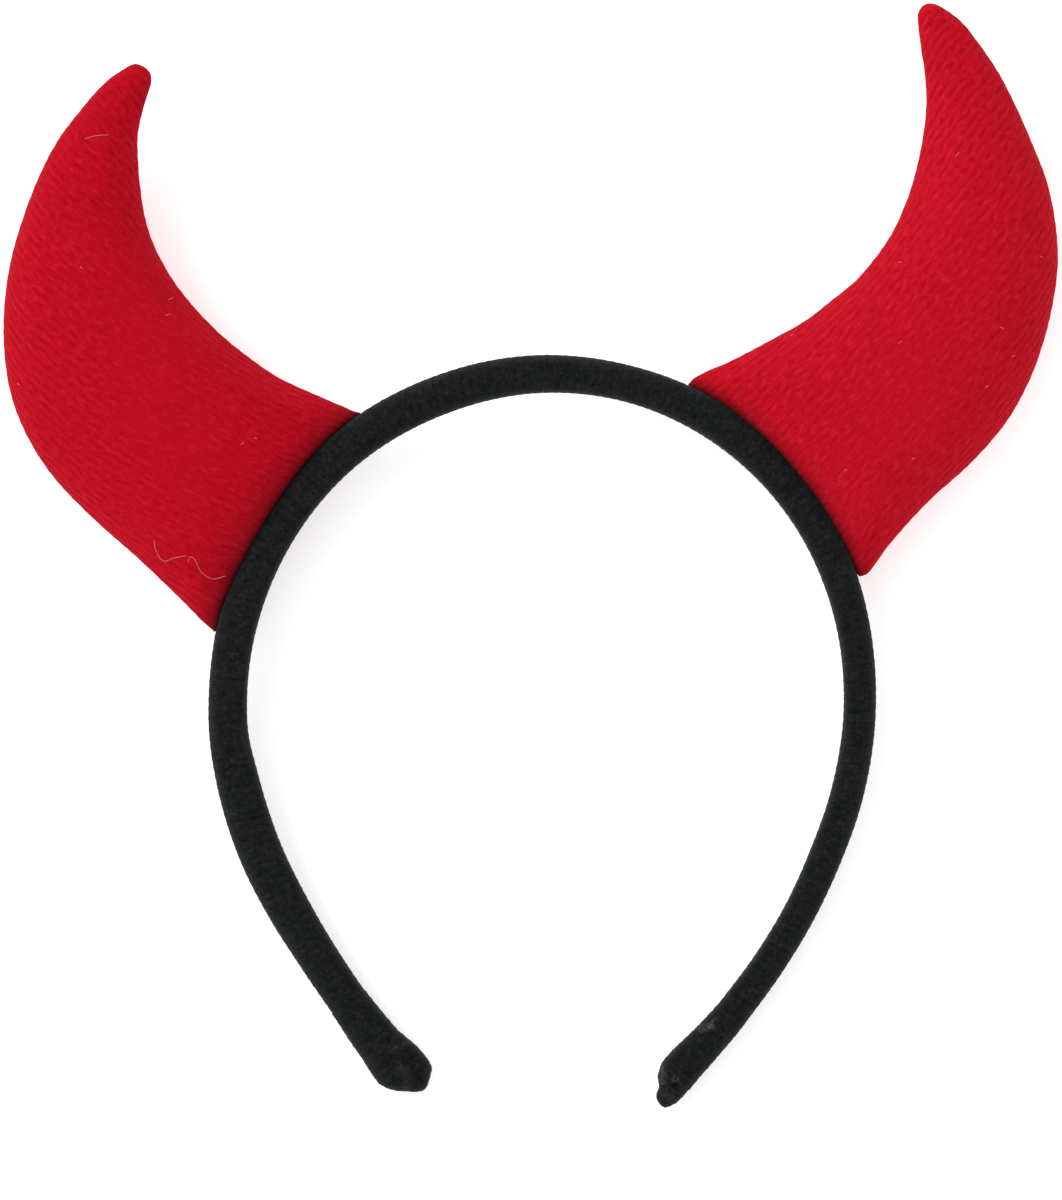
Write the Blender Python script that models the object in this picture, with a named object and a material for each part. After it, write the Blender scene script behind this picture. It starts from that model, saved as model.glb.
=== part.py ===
"""A headband with two stuffed fabric devil horns, lying on its back on a flat surface.

Metres, +Z up. Every piece is first worked out in the hoop's own plane: X runs to the right horn,
Y to the horns' tips and Z to the front. The whole is then tilted to the lie that it takes by itself,
with the horns' backs and the ends of both arms on the surface.
"""
import math
from dataclasses import dataclass

import bmesh
import bpy
import numpy as np

# Headband: a padded strip bent to a hoop, with a ribbed fabric cover
HOOP_RADIUS = 0.0616
BAND_THICKNESS = 0.0071
BAND_DEPTH = 0.0100
OUTER_FACE_ROUNDING = 2.2
INNER_FACE_ROUNDING = 3.2
BAND_RING_SPACING = 0.0030
BAND_RING_SIDES = 16

# Horns: two fabric panels sewn along the outline and stuffed
LEFT_HORN_REACH = 0.0929
LEFT_HORN_FULLNESS = 0.0265
LEFT_BASE_FROM_DEG = 169.3
LEFT_BASE_TO_DEG = 123.3
LEFT_HORN_LEAN_DEG = 1.0
RIGHT_HORN_REACH = 0.0972
RIGHT_HORN_FULLNESS = 0.0265
RIGHT_BASE_FROM_DEG = 19.3
RIGHT_BASE_TO_DEG = 64.5
RIGHT_HORN_LEAN_DEG = 1.2
SEAM_PINCH = 1.15
HORN_RING_SIDES = 24
RINGS_PER_ROW = 2
SEAT_STRIPS = 4

# Fits
SEAT_CLEARANCE = 0.0004
SEAT_EDGE_INSET = 0.0006
SURFACE_PRESS = 0.0005
LIE_STEPS = 30

# Centre line of the hoop by angle about its middle, anticlockwise from +X.
# Radius is a share of HOOP_RADIUS, thickness of BAND_THICKNESS, depth of BAND_DEPTH.
HOOP_COLUMNS = ("angle_deg", "radius", "thickness", "depth")
HOOP_TABLE = (
    (-74.0, 1.344, 0.90, 0.90),
    (-67.7, 1.253, 0.90, 0.90),
    (-60.0, 1.170, 0.88, 0.90),
    (-50.0, 1.106, 0.87, 0.91),
    (-40.0, 1.060, 0.87, 0.92),
    (-30.0, 1.027, 0.89, 0.94),
    (-20.0, 1.009, 0.89, 0.96),
    (0.0, 0.997, 0.87, 0.98),
    (20.0, 1.007, 0.94, 1.00),
    (35.0, 1.016, 1.02, 1.00),
    (55.0, 1.022, 1.03, 1.00),
    (75.0, 1.020, 0.97, 1.00),
    (90.0, 1.013, 1.02, 1.00),
    (110.0, 1.003, 1.03, 1.00),
    (130.0, 0.995, 1.06, 1.00),
    (150.0, 0.986, 1.03, 1.00),
    (165.0, 0.989, 1.05, 1.00),
    (180.0, 0.994, 1.03, 0.99),
    (195.0, 1.000, 1.13, 0.98),
    (210.0, 1.022, 1.19, 0.97),
    (220.0, 1.047, 1.15, 0.96),
    (230.0, 1.093, 1.08, 0.95),
    (240.0, 1.168, 1.10, 0.94),
    (245.0, 1.222, 1.22, 0.93),
    (252.4, 1.331, 1.30, 0.93),
)

# Folded ends of the cover, by distance back from the end of the arm.
# Distances and half widths are shares of BAND_THICKNESS, depth is a share of BAND_DEPTH.
END_COLUMNS = ("from_end", "outer", "inner", "depth")
LEFT_END_TABLE = (
    (0.00, -0.20, 0.26, 0.10),
    (0.05, -0.15, 0.31, 0.28),
    (0.16, -0.04, 0.51, 0.50),
    (0.27, 0.10, 0.69, 0.66),
    (0.38, 0.22, 0.82, 0.78),
    (0.55, 0.40, 0.85, 0.88),
    (0.74, 0.50, 0.85, 0.92),
    (0.96, 0.60, 0.85, 0.94),
    (1.21, 0.62, 0.82, 0.95),
    (1.70, 0.61, 0.68, 0.94),
    (2.71, 0.56, 0.57, 0.93),
)
RIGHT_END_TABLE = (
    (0.00, 0.14, -0.04, 0.10),
    (0.04, 0.19, 0.11, 0.30),
    (0.12, 0.23, 0.22, 0.50),
    (0.23, 0.29, 0.30, 0.63),
    (0.34, 0.32, 0.33, 0.68),
    (0.40, 0.33, 0.36, 0.71),
    (0.51, 0.35, 0.48, 0.80),
    (0.64, 0.36, 0.57, 0.86),
    (0.95, 0.38, 0.63, 0.90),
    (1.47, 0.40, 0.59, 0.90),
    (2.18, 0.42, 0.48, 0.90),
)

# Sections of a horn from its base to its tip. Rise is measured out from the middle of the base and
# lean towards the crown, both as shares of the horn's reach. Width is a share of the base's chord,
# turn the angle of the section to the base, and fullness a share of the horn's greatest depth.
HORN_COLUMNS = ("rise", "lean", "width", "turn_deg", "fullness")
LEFT_HORN_TABLE = (
    (0.030, 0.001, 0.975, -1.0, 0.56),
    (0.091, 0.004, 0.935, -2.0, 0.76),
    (0.200, 0.007, 0.863, -4.0, 0.91),
    (0.303, 0.014, 0.844, -10.0, 0.98),
    (0.393, 0.029, 0.832, -16.5, 1.00),
    (0.470, 0.053, 0.806, -22.0, 0.99),
    (0.536, 0.085, 0.757, -26.0, 0.96),
    (0.593, 0.129, 0.692, -32.0, 0.91),
    (0.650, 0.182, 0.616, -35.0, 0.84),
    (0.695, 0.243, 0.536, -40.0, 0.75),
    (0.732, 0.310, 0.456, -43.0, 0.66),
    (0.763, 0.377, 0.378, -46.5, 0.56),
    (0.783, 0.443, 0.300, -53.0, 0.46),
    (0.792, 0.507, 0.221, -60.0, 0.36),
    (0.792, 0.564, 0.158, -72.0, 0.27),
    (0.789, 0.602, 0.114, -82.0, 0.20),
    (0.789, 0.626, 0.040, -86.0, 0.08),
)
RIGHT_HORN_TABLE = (
    (0.030, 0.001, 0.975, 0.0, 0.56),
    (0.100, 0.004, 0.913, 0.5, 0.77),
    (0.196, -0.001, 0.855, -2.5, 0.91),
    (0.293, -0.008, 0.827, -8.0, 0.98),
    (0.377, -0.003, 0.803, -13.0, 1.00),
    (0.454, 0.008, 0.755, -18.0, 0.99),
    (0.517, 0.032, 0.709, -22.5, 0.96),
    (0.574, 0.062, 0.662, -28.0, 0.92),
    (0.626, 0.095, 0.618, -34.0, 0.87),
    (0.679, 0.142, 0.557, -36.0, 0.80),
    (0.727, 0.194, 0.486, -39.0, 0.71),
    (0.764, 0.249, 0.412, -40.5, 0.61),
    (0.798, 0.307, 0.337, -43.0, 0.51),
    (0.826, 0.368, 0.271, -48.0, 0.42),
    (0.844, 0.422, 0.210, -52.0, 0.33),
    (0.857, 0.465, 0.161, -55.0, 0.26),
    (0.864, 0.496, 0.101, -59.0, 0.18),
    (0.869, 0.511, 0.035, -60.0, 0.07),
)
# Share of the reach over which a section still bends round the band below it
BASE_BEND_FADE = 0.45

RED_FABRIC = (0.52, 0.008, 0.016, 1.0)
BLACK_FABRIC = (0.013, 0.014, 0.015, 1.0)
FABRIC_ROUGHNESS = 0.95


@dataclass(frozen=True)
class HornPlan:
    """Where one horn sits on the band, how far it reaches and how its sections run."""

    name: str
    base_from_deg: float
    base_to_deg: float
    lean_deg: float
    reach: float
    fullness: float
    table: tuple


@dataclass
class Piece:
    """Corner points and faces of one piece before it becomes a mesh."""

    name: str
    points: np.ndarray
    faces: list
    colour: tuple


def table_column(columns, table, name):
    """Return one named column of a table as an array."""
    return np.array([row[columns.index(name)] for row in table])


def smooth_value(keys, values, at):
    """Read a smooth curve through (keys, values), with each slope taken from its neighbours."""
    slopes = np.gradient(values, keys)
    index = int(np.clip(np.searchsorted(keys, at) - 1, 0, len(keys) - 2))
    span = keys[index + 1] - keys[index]
    share = float(np.clip((at - keys[index]) / span, 0.0, 1.0))
    rising = share * share * (3.0 - 2.0 * share)
    from_slope = share * (1.0 - share) ** 2 * slopes[index] * span
    to_slope = share * share * (share - 1.0) * slopes[index + 1] * span
    return (1.0 - rising) * values[index] + rising * values[index + 1] + from_slope + to_slope


def hoop_share(column, angle_deg):
    """Return a column of the hoop's table at an angle."""
    keys = table_column(HOOP_COLUMNS, HOOP_TABLE, "angle_deg")
    return smooth_value(keys, table_column(HOOP_COLUMNS, HOOP_TABLE, column), angle_deg)


def hoop_point(angle_deg):
    """Return the point of the hoop's centre line at an angle."""
    angle = math.radians(angle_deg)
    radius = HOOP_RADIUS * hoop_share("radius", angle_deg)
    return np.array((radius * math.cos(angle), radius * math.sin(angle)))


def hoop_outward(angle_deg):
    """Return the direction square to the centre line, away from the hoop's inside."""
    half_step = 0.25
    along = hoop_point(angle_deg + half_step) - hoop_point(angle_deg - half_step)
    return np.array((along[1], -along[0])) / np.linalg.norm(along)


def band_half_thickness(angle_deg):
    """Return half of the band's thickness at an angle."""
    return 0.5 * BAND_THICKNESS * hoop_share("thickness", angle_deg)


def band_half_depth(angle_deg):
    """Return half of the band's depth at an angle."""
    return 0.5 * BAND_DEPTH * hoop_share("depth", angle_deg)


def band_section(outer, inner, half_depth):
    """Return the (outward, front) points of one section of the band.

    The outer face is well rounded and the inner face, which bears on the head, is flatter.
    """
    middle = 0.5 * (outer - inner)
    half_thickness = 0.5 * (outer + inner)
    section = []
    for side in range(BAND_RING_SIDES):
        angle = 2.0 * math.pi * (side + 0.5) / BAND_RING_SIDES
        across, front = math.cos(angle), math.sin(angle)
        power = 2.0 / (OUTER_FACE_ROUNDING if across > 0.0 else INNER_FACE_ROUNDING)
        outward = middle + half_thickness * math.copysign(abs(across) ** power, across)
        section.append((outward, half_depth * math.copysign(abs(front) ** power, front)))
    return section


def band_stations():
    """Return (angle, outer, inner, half depth) for each ring, from the right end to the left."""
    first, last = HOOP_TABLE[0][0], HOOP_TABLE[-1][0]
    angles = np.linspace(first, last, 2000)
    steps = np.diff([hoop_point(angle) for angle in angles], axis=0)
    travelled = np.concatenate(((0.0,), np.cumsum(np.linalg.norm(steps, axis=1))))
    length = travelled[-1]

    right_zone = RIGHT_END_TABLE[-1][0] * BAND_THICKNESS
    left_zone = LEFT_END_TABLE[-1][0] * BAND_THICKNESS
    count = round((length - right_zone - left_zone) / BAND_RING_SPACING)
    middle = np.linspace(right_zone, length - left_zone, count + 1)
    right = [row[0] * BAND_THICKNESS for row in RIGHT_END_TABLE[:-1]]
    left = [length - row[0] * BAND_THICKNESS for row in reversed(LEFT_END_TABLE[:-1])]

    stations = []
    for place in (*right, *middle, *left):
        angle = float(np.interp(place, travelled, angles))
        from_right, from_left = place / BAND_THICKNESS, (length - place) / BAND_THICKNESS
        if from_right <= RIGHT_END_TABLE[-1][0]:
            stations.append((angle, *end_widths(RIGHT_END_TABLE, from_right)))
        elif from_left <= LEFT_END_TABLE[-1][0]:
            stations.append((angle, *end_widths(LEFT_END_TABLE, from_left)))
        else:
            half = band_half_thickness(angle)
            stations.append((angle, half, half, band_half_depth(angle)))
    return stations


def end_widths(table, from_end):
    """Return the outer and inner half widths and the half depth in one of the folded ends."""
    keys = table_column(END_COLUMNS, table, "from_end")
    outer, inner, depth = (
        smooth_value(keys, table_column(END_COLUMNS, table, name), from_end)
        for name in ("outer", "inner", "depth")
    )
    return outer * BAND_THICKNESS, inner * BAND_THICKNESS, 0.5 * depth * BAND_DEPTH


def make_headband():
    """Loft the band through its sections, from the end of the right arm to that of the left."""
    points, faces = [], []
    for angle, outer, inner, half_depth in band_stations():
        centre, outward = hoop_point(angle), hoop_outward(angle)
        for offset, front in band_section(outer, inner, half_depth):
            points.append((*(centre + outward * offset), front))
    sides = BAND_RING_SIDES
    rings = len(points) // sides
    faces += ring_faces(rings, sides)
    faces.append(tuple(range(sides)))
    faces.append(tuple(range((rings - 1) * sides, rings * sides)))
    return Piece("headband", np.array(points), faces, BLACK_FABRIC)


def ring_faces(rings, sides):
    """Return the four-sided faces that join each ring of points to the next."""
    faces = []
    for ring in range(rings - 1):
        for side in range(sides):
            after = (side + 1) % sides
            near, far = ring * sides, (ring + 1) * sides
            faces.append((near + side, near + after, far + after, far + side))
    return faces


def seat_point(angle_deg, front):
    """Return the point that lies clear of the band's outer face, at a depth front of its middle."""
    half_thickness = band_half_thickness(angle_deg) + SEAT_CLEARANCE
    half_depth = band_half_depth(angle_deg) + SEAT_CLEARANCE
    fall = 1.0 - abs(front / half_depth) ** OUTER_FACE_ROUNDING
    offset = half_thickness * fall ** (1.0 / OUTER_FACE_ROUNDING)
    return np.array((*(hoop_point(angle_deg) + hoop_outward(angle_deg) * offset), front))


def make_horn(plan):
    """Loft one horn from its seat on the band to its tip."""
    sides = HORN_RING_SIDES
    around = [2.0 * math.pi * side / sides for side in range(sides)]
    crosswise = [math.cos(angle) for angle in around]
    swell = [math.copysign(abs(math.sin(angle)) ** SEAM_PINCH, math.sin(angle)) for angle in around]

    middle_deg = 0.5 * (plan.base_from_deg + plan.base_to_deg)
    half_base_deg = 0.5 * (plan.base_to_deg - plan.base_from_deg)
    seat_half_depth = 0.5 * BAND_DEPTH - SEAT_EDGE_INSET
    seat_degs = [middle_deg + share * half_base_deg for share in crosswise]
    seat_fronts = [share * seat_half_depth for share in swell]
    seat = np.array([seat_point(deg, front) for deg, front in zip(seat_degs, seat_fronts)])

    crown_corner, low_corner = seat[0], seat[sides // 2]
    base_middle = 0.5 * (crown_corner + low_corner)
    base_chord = float(np.linalg.norm(crown_corner - low_corner))
    crownward = (crown_corner - low_corner) / base_chord
    outward = np.array((*(base_middle[:2] / np.linalg.norm(base_middle[:2])), 0.0))
    outward -= crownward * float(outward @ crownward)
    outward /= np.linalg.norm(outward)
    chord = base_middle + np.outer(crosswise, crownward) * 0.5 * base_chord
    base_bend = seat - chord
    base_bend[:, 2] = 0.0
    lean = math.radians(plan.lean_deg)
    rise_axis = math.cos(lean) * outward + math.sin(lean) * crownward
    lean_axis = math.cos(lean) * crownward - math.sin(lean) * outward

    table = ((0.0, 0.0, 1.0, 0.0, 2.0 * seat_half_depth / plan.fullness), *plan.table)
    keys = np.arange(len(table))
    columns = {name: table_column(HORN_COLUMNS, table, name) for name in HORN_COLUMNS}
    rings = [seat]
    for step in range(1, RINGS_PER_ROW * (len(table) - 1) + 1):
        row = {name: smooth_value(keys, values, step / RINGS_PER_ROW)
               for name, values in columns.items()}
        turn = math.radians(row["turn_deg"])
        centre = base_middle + plan.reach * (row["rise"] * rise_axis + row["lean"] * lean_axis)
        across = math.cos(turn) * lean_axis + math.sin(turn) * rise_axis
        fade = max(0.0, 1.0 - row["rise"] / BASE_BEND_FADE) ** 2
        ring = centre + np.outer(crosswise, across) * 0.5 * base_chord * row["width"]
        ring += fade * base_bend
        ring[:, 2] = 0.5 * plan.fullness * row["fullness"] * np.array(swell)
        rings.append(ring)

    points = [tuple(point) for ring in rings for point in ring]
    faces = ring_faces(len(rings), sides)
    faces.append(tuple(range((len(rings) - 1) * sides, len(rings) * sides)))
    faces += seat_faces(points, seat_degs, seat_fronts)
    return Piece(plan.name, np.array(points), faces, RED_FABRIC)


def seat_faces(points, seat_degs, seat_fronts):
    """Close a horn's base with strips that follow the band's outer face, and add their points."""
    sides = len(seat_degs)
    half = sides // 2
    lines = [[0] * (SEAT_STRIPS + 1)]
    for side in range(1, half):
        line = [side]
        for strip in range(1, SEAT_STRIPS):
            share = 1.0 - 2.0 * strip / SEAT_STRIPS
            line.append(len(points))
            points.append(tuple(seat_point(seat_degs[side], share * seat_fronts[side])))
        line.append(sides - side)
        lines.append(line)
    lines.append([half] * (SEAT_STRIPS + 1))

    faces = []
    for near, far in zip(lines, lines[1:]):
        for strip in range(SEAT_STRIPS):
            corners = (near[strip], near[strip + 1], far[strip + 1], far[strip])
            faces.append(tuple(dict.fromkeys(corners)))
    return faces


def lie_turn(tilt, roll):
    """Return the rotation that raises the horns by tilt and lowers the right side by roll."""
    rolled = np.array((
        (math.cos(roll), 0.0, math.sin(roll)),
        (0.0, 1.0, 0.0),
        (-math.sin(roll), 0.0, math.cos(roll)),
    ))
    tilted = np.array((
        (1.0, 0.0, 0.0),
        (0.0, math.cos(tilt), -math.sin(tilt)),
        (0.0, math.sin(tilt), math.cos(tilt)),
    ))
    return tilted @ rolled


def resting_turn(headband, horn_left, horn_right):
    """Return the rotation at which an arm's end and both horns' backs meet one flat surface."""
    tilt = roll = 0.0
    for _ in range(LIE_STEPS):
        turn = lie_turn(tilt, roll)
        turned = [piece.points @ turn.T for piece in (headband, horn_left, horn_right)]
        end, left, right = (points[points[:, 2].argmin()] for points in turned)
        roll += (right[2] - left[2]) / (right[0] - left[0])
        tilt += (end[2] - min(left[2], right[2])) / (0.5 * (left[1] + right[1]) - end[1])
    return lie_turn(tilt, roll)


def lay_down(pieces, turn):
    """Turn the pieces, press their lowest fabric flat on the surface and centre them over it."""
    for piece in pieces:
        piece.points = piece.points @ turn.T
    every = np.vstack([piece.points for piece in pieces])
    middle = 0.5 * (every.min(axis=0) + every.max(axis=0))
    shift = np.array((middle[0], middle[1], every[:, 2].min() + SURFACE_PRESS))
    for piece in pieces:
        piece.points = piece.points - shift
        piece.points[:, 2] = np.maximum(piece.points[:, 2], 0.0)


def fabric_material(name, colour):
    """Return a plain matt fabric material."""
    material = bpy.data.materials.new(name)
    material.use_nodes = True
    shader = material.node_tree.nodes["Principled BSDF"]
    shader.inputs["Base Color"].default_value = colour
    shader.inputs["Roughness"].default_value = FABRIC_ROUGHNESS
    shader.inputs["Metallic"].default_value = 0.0
    return material


def build_object(piece, collection):
    """Turn a piece into a closed, outward-facing mesh object."""
    mesh = bpy.data.meshes.new(piece.name)
    mesh.from_pydata([tuple(point) for point in piece.points], [], piece.faces)
    shape = bmesh.new()
    shape.from_mesh(mesh)
    bmesh.ops.recalc_face_normals(shape, faces=shape.faces)
    bmesh.ops.triangulate(shape, faces=[face for face in shape.faces if len(face.verts) > 4])
    shape.to_mesh(mesh)
    shape.free()
    mesh.shade_smooth()
    mesh.set_sharp_from_angle(angle=math.radians(50.0))
    mesh.materials.append(fabric_material(f"{piece.name}_fabric", piece.colour))
    thing = bpy.data.objects.new(piece.name, mesh)
    collection.objects.link(thing)
    return thing


def main():
    """Clear the scene and build the headband and its two horns."""
    for thing in list(bpy.data.objects):
        bpy.data.objects.remove(thing, do_unlink=True)
    collection = bpy.data.collections.new("devil_horns_headband")
    bpy.context.scene.collection.children.link(collection)

    headband = make_headband()
    horns = [
        make_horn(HornPlan("horn_left", LEFT_BASE_FROM_DEG, LEFT_BASE_TO_DEG, LEFT_HORN_LEAN_DEG,
                           LEFT_HORN_REACH, LEFT_HORN_FULLNESS, LEFT_HORN_TABLE)),
        make_horn(HornPlan("horn_right", RIGHT_BASE_FROM_DEG, RIGHT_BASE_TO_DEG, RIGHT_HORN_LEAN_DEG,
                           RIGHT_HORN_REACH, RIGHT_HORN_FULLNESS, RIGHT_HORN_TABLE)),
    ]
    lay_down([headband, *horns], resting_turn(headband, *horns))
    for piece in (headband, *horns):
        build_object(piece, collection)


main()
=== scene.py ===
"""Looks of the devil horns headband: ribbed cover, stuffed horns, lint and a pale studio.

Metres, +Z up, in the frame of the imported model. Shapes are worked out in the hoop's own plane, with
X to the right horn, Y to the horns' tips and Z to the front, and are then laid down as the solids lie.
"""
import logging
import math
from dataclasses import dataclass, field, replace
from enum import Enum
from typing import Any

import bpy
import numpy as np
from mathutils import Matrix, Vector
from mathutils.bvhtree import BVHTree


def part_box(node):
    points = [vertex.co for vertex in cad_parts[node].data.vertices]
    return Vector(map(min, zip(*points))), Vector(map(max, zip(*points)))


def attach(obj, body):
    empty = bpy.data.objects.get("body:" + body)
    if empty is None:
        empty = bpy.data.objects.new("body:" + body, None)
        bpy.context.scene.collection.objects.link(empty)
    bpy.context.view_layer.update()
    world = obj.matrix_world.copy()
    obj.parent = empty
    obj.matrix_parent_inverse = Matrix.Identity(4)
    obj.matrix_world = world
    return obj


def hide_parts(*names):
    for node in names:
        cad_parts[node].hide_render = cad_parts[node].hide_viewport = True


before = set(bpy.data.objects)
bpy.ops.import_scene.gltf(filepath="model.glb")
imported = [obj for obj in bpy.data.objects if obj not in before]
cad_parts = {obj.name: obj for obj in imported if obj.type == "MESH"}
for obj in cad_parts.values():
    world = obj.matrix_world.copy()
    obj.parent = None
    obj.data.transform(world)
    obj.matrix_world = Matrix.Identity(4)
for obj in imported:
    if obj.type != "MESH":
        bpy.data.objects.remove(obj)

LOG = logging.getLogger("devil_horns_headband")
Array = np.ndarray
Rows = tuple[tuple[float, ...], ...]
Pixel = tuple[float, float]

BODY = "root"
MM = 0.001

# Centre line of the hoop by angle about its middle, anticlockwise from +X.
# Radius is a share of the hoop's radius, thickness and depth are shares of the band's.
HOOP_COLUMNS = ("angle_deg", "radius", "thickness", "depth")
HOOP_TABLE: Rows = (
    (-74.1, 1.345, 0.90, 0.90),
    (-67.7, 1.253, 0.90, 0.90),
    (-60.0, 1.174, 0.89, 0.90),
    (-50.0, 1.107, 0.87, 0.91),
    (-40.0, 1.060, 0.87, 0.92),
    (-30.0, 1.027, 0.89, 0.94),
    (-20.0, 1.011, 0.89, 0.96),
    (0.0, 1.000, 0.87, 0.98),
    (20.0, 1.006, 0.93, 1.00),
    (35.0, 1.016, 1.02, 1.00),
    (55.0, 1.021, 1.04, 1.00),
    (75.0, 1.018, 0.99, 1.00),
    (90.0, 1.013, 1.03, 1.00),
    (110.0, 1.000, 1.07, 1.00),
    (130.0, 0.994, 1.07, 1.00),
    (150.0, 0.986, 1.03, 1.00),
    (165.0, 0.989, 1.06, 1.00),
    (180.0, 0.994, 1.04, 0.99),
    (187.0, 0.999, 1.06, 0.98),
    (195.0, 1.000, 1.15, 0.98),
    (210.0, 1.022, 1.19, 0.97),
    (220.0, 1.048, 1.16, 0.96),
    (230.0, 1.093, 1.09, 0.95),
    (240.0, 1.168, 1.10, 0.94),
    (245.0, 1.222, 1.22, 0.93),
    (252.4, 1.331, 1.30, 0.93),
)

# Folded ends of the cover, by distance back from the end of the arm.
# Distances and half widths are shares of the band's thickness, depth is a share of its depth.
END_COLUMNS = ("from_end", "outer", "inner", "depth")
LEFT_END_TABLE: Rows = (
    (0.00, -0.30, 0.30, 0.00),
    (0.03, -0.20, 0.46, 0.30),
    (0.10, -0.10, 0.56, 0.50),
    (0.20, 0.01, 0.68, 0.64),
    (0.34, 0.17, 0.83, 0.76),
    (0.46, 0.31, 0.87, 0.84),
    (0.64, 0.46, 0.89, 0.90),
    (0.85, 0.57, 0.88, 0.93),
    (1.10, 0.59, 0.85, 0.95),
    (1.47, 0.59, 0.75, 0.95),
    (1.70, 0.58, 0.68, 0.94),
    (2.20, 0.58, 0.62, 0.94),
    (2.71, 0.56, 0.58, 0.93),
    (3.20, 0.55, 0.55, 0.93),
)
RIGHT_END_TABLE: Rows = (
    (0.00, 0.04, -0.04, 0.00),
    (0.03, 0.14, 0.10, 0.34),
    (0.09, 0.19, 0.21, 0.50),
    (0.18, 0.24, 0.28, 0.60),
    (0.37, 0.30, 0.35, 0.68),
    (0.43, 0.31, 0.41, 0.71),
    (0.54, 0.32, 0.52, 0.80),
    (0.67, 0.33, 0.59, 0.86),
    (0.97, 0.36, 0.68, 0.90),
    (1.27, 0.37, 0.67, 0.90),
    (1.72, 0.40, 0.61, 0.90),
    (2.22, 0.42, 0.54, 0.90),
    (2.72, 0.44, 0.49, 0.90),
    (3.20, 0.45, 0.45, 0.90),
)

# Sections of a horn from its base to its tip. Rise is measured out from the middle of the base and
# lean towards the crown, both as shares of the horn's reach. Width is a share of the base's chord,
# turn the angle of the section to the base, and fullness a share of the horn's greatest depth.
HORN_COLUMNS = ("rise", "lean", "width", "turn_deg", "fullness")
LEFT_HORN_TABLE: Rows = (
    (0.030, 0.002, 0.992, -1.0, 0.56),
    (0.091, 0.003, 0.949, -2.0, 0.76),
    (0.200, 0.004, 0.883, -4.0, 0.91),
    (0.303, 0.012, 0.863, -10.0, 0.98),
    (0.394, 0.027, 0.849, -16.5, 1.00),
    (0.470, 0.052, 0.819, -22.0, 0.99),
    (0.536, 0.085, 0.771, -26.0, 0.96),
    (0.593, 0.129, 0.702, -32.0, 0.91),
    (0.649, 0.183, 0.623, -35.0, 0.84),
    (0.694, 0.244, 0.542, -40.0, 0.75),
    (0.731, 0.311, 0.466, -43.0, 0.66),
    (0.761, 0.379, 0.391, -46.5, 0.56),
    (0.781, 0.444, 0.310, -53.0, 0.46),
    (0.789, 0.508, 0.236, -60.0, 0.36),
    (0.790, 0.564, 0.172, -72.0, 0.27),
    (0.786, 0.598, 0.122, -82.0, 0.20),
    (0.785, 0.616, 0.077, -88.0, 0.11),
    (0.783, 0.622, 0.000, -90.0, 0.00),
)
RIGHT_HORN_TABLE: Rows = (
    (0.030, 0.006, 1.000, 0.0, 0.56),
    (0.100, 0.002, 0.929, 0.5, 0.77),
    (0.196, -0.003, 0.868, -2.5, 0.91),
    (0.293, -0.011, 0.841, -8.0, 0.98),
    (0.378, -0.007, 0.819, -13.0, 1.00),
    (0.454, 0.007, 0.772, -18.0, 0.99),
    (0.518, 0.030, 0.727, -22.5, 0.96),
    (0.576, 0.059, 0.680, -28.0, 0.92),
    (0.627, 0.093, 0.635, -34.0, 0.87),
    (0.681, 0.139, 0.572, -36.0, 0.80),
    (0.728, 0.192, 0.502, -39.0, 0.71),
    (0.766, 0.247, 0.425, -40.5, 0.61),
    (0.800, 0.305, 0.353, -43.0, 0.51),
    (0.828, 0.367, 0.287, -48.0, 0.42),
    (0.846, 0.421, 0.229, -52.0, 0.33),
    (0.859, 0.464, 0.175, -55.0, 0.26),
    (0.864, 0.497, 0.110, -59.0, 0.18),
    (0.868, 0.512, 0.046, -60.0, 0.07),
    (0.869, 0.515, 0.000, -60.0, 0.00),
)


class Slot(Enum):
    """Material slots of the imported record."""

    BLACK = "black_ribbed_fabric"
    RED = "red_brushed_fabric"


class FoldKind(Enum):
    """Ways in which a fold stands on the fabric."""

    RIDGE = "ridge"
    GROOVE = "groove"
    STEP = "step"


def columns(rows: Rows, names: tuple[str, ...]) -> dict[str, Array]:
    """Return the columns of a table by name."""
    return dict(zip(names, np.array(rows).T))


def smooth_value(keys: Array, values: Array, at: Array) -> Array:
    """Read a smooth curve through points, with each slope taken from its neighbours.

    Args:
        keys: Places of the points, rising.
        values: Values at those places, by their first axis.
        at: Places to read.

    Returns:
        The curve's values at those places.
    """
    slopes = np.gradient(values, keys, axis=0)
    index = np.clip(np.searchsorted(keys, at) - 1, 0, len(keys) - 2)
    span = keys[index + 1] - keys[index]
    share = np.clip((at - keys[index]) / span, 0.0, 1.0)
    if values.ndim > 1:
        flat = (-1,) + (1,) * (values.ndim - 1)
        share, span = share.reshape(flat), span.reshape(flat)
    rising = share * share * (3.0 - 2.0 * share)
    from_slope = share * (1.0 - share) ** 2 * slopes[index] * span
    to_slope = share * share * (share - 1.0) * slopes[index + 1] * span
    return (1.0 - rising) * values[index] + rising * values[index + 1] + from_slope + to_slope


def rounded_value(keys: Array, widths: Array, at: Array) -> Array:
    """Read a smooth curve of widths by their squares, which makes the end where they reach 0 round."""
    return np.sqrt(np.maximum(smooth_value(keys, widths ** 2, at), 0.0))


def smooth_step(value: Array) -> Array:
    """Return 0 below 0, 1 above 1 and a smooth rise between."""
    share = np.clip(value, 0.0, 1.0)
    return share * share * (3.0 - 2.0 * share)


def signed_power(base: Array, power: float) -> Array:
    """Return the power of the size of a number, with the number's sign."""
    return np.copysign(np.abs(base) ** power, base)


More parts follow.
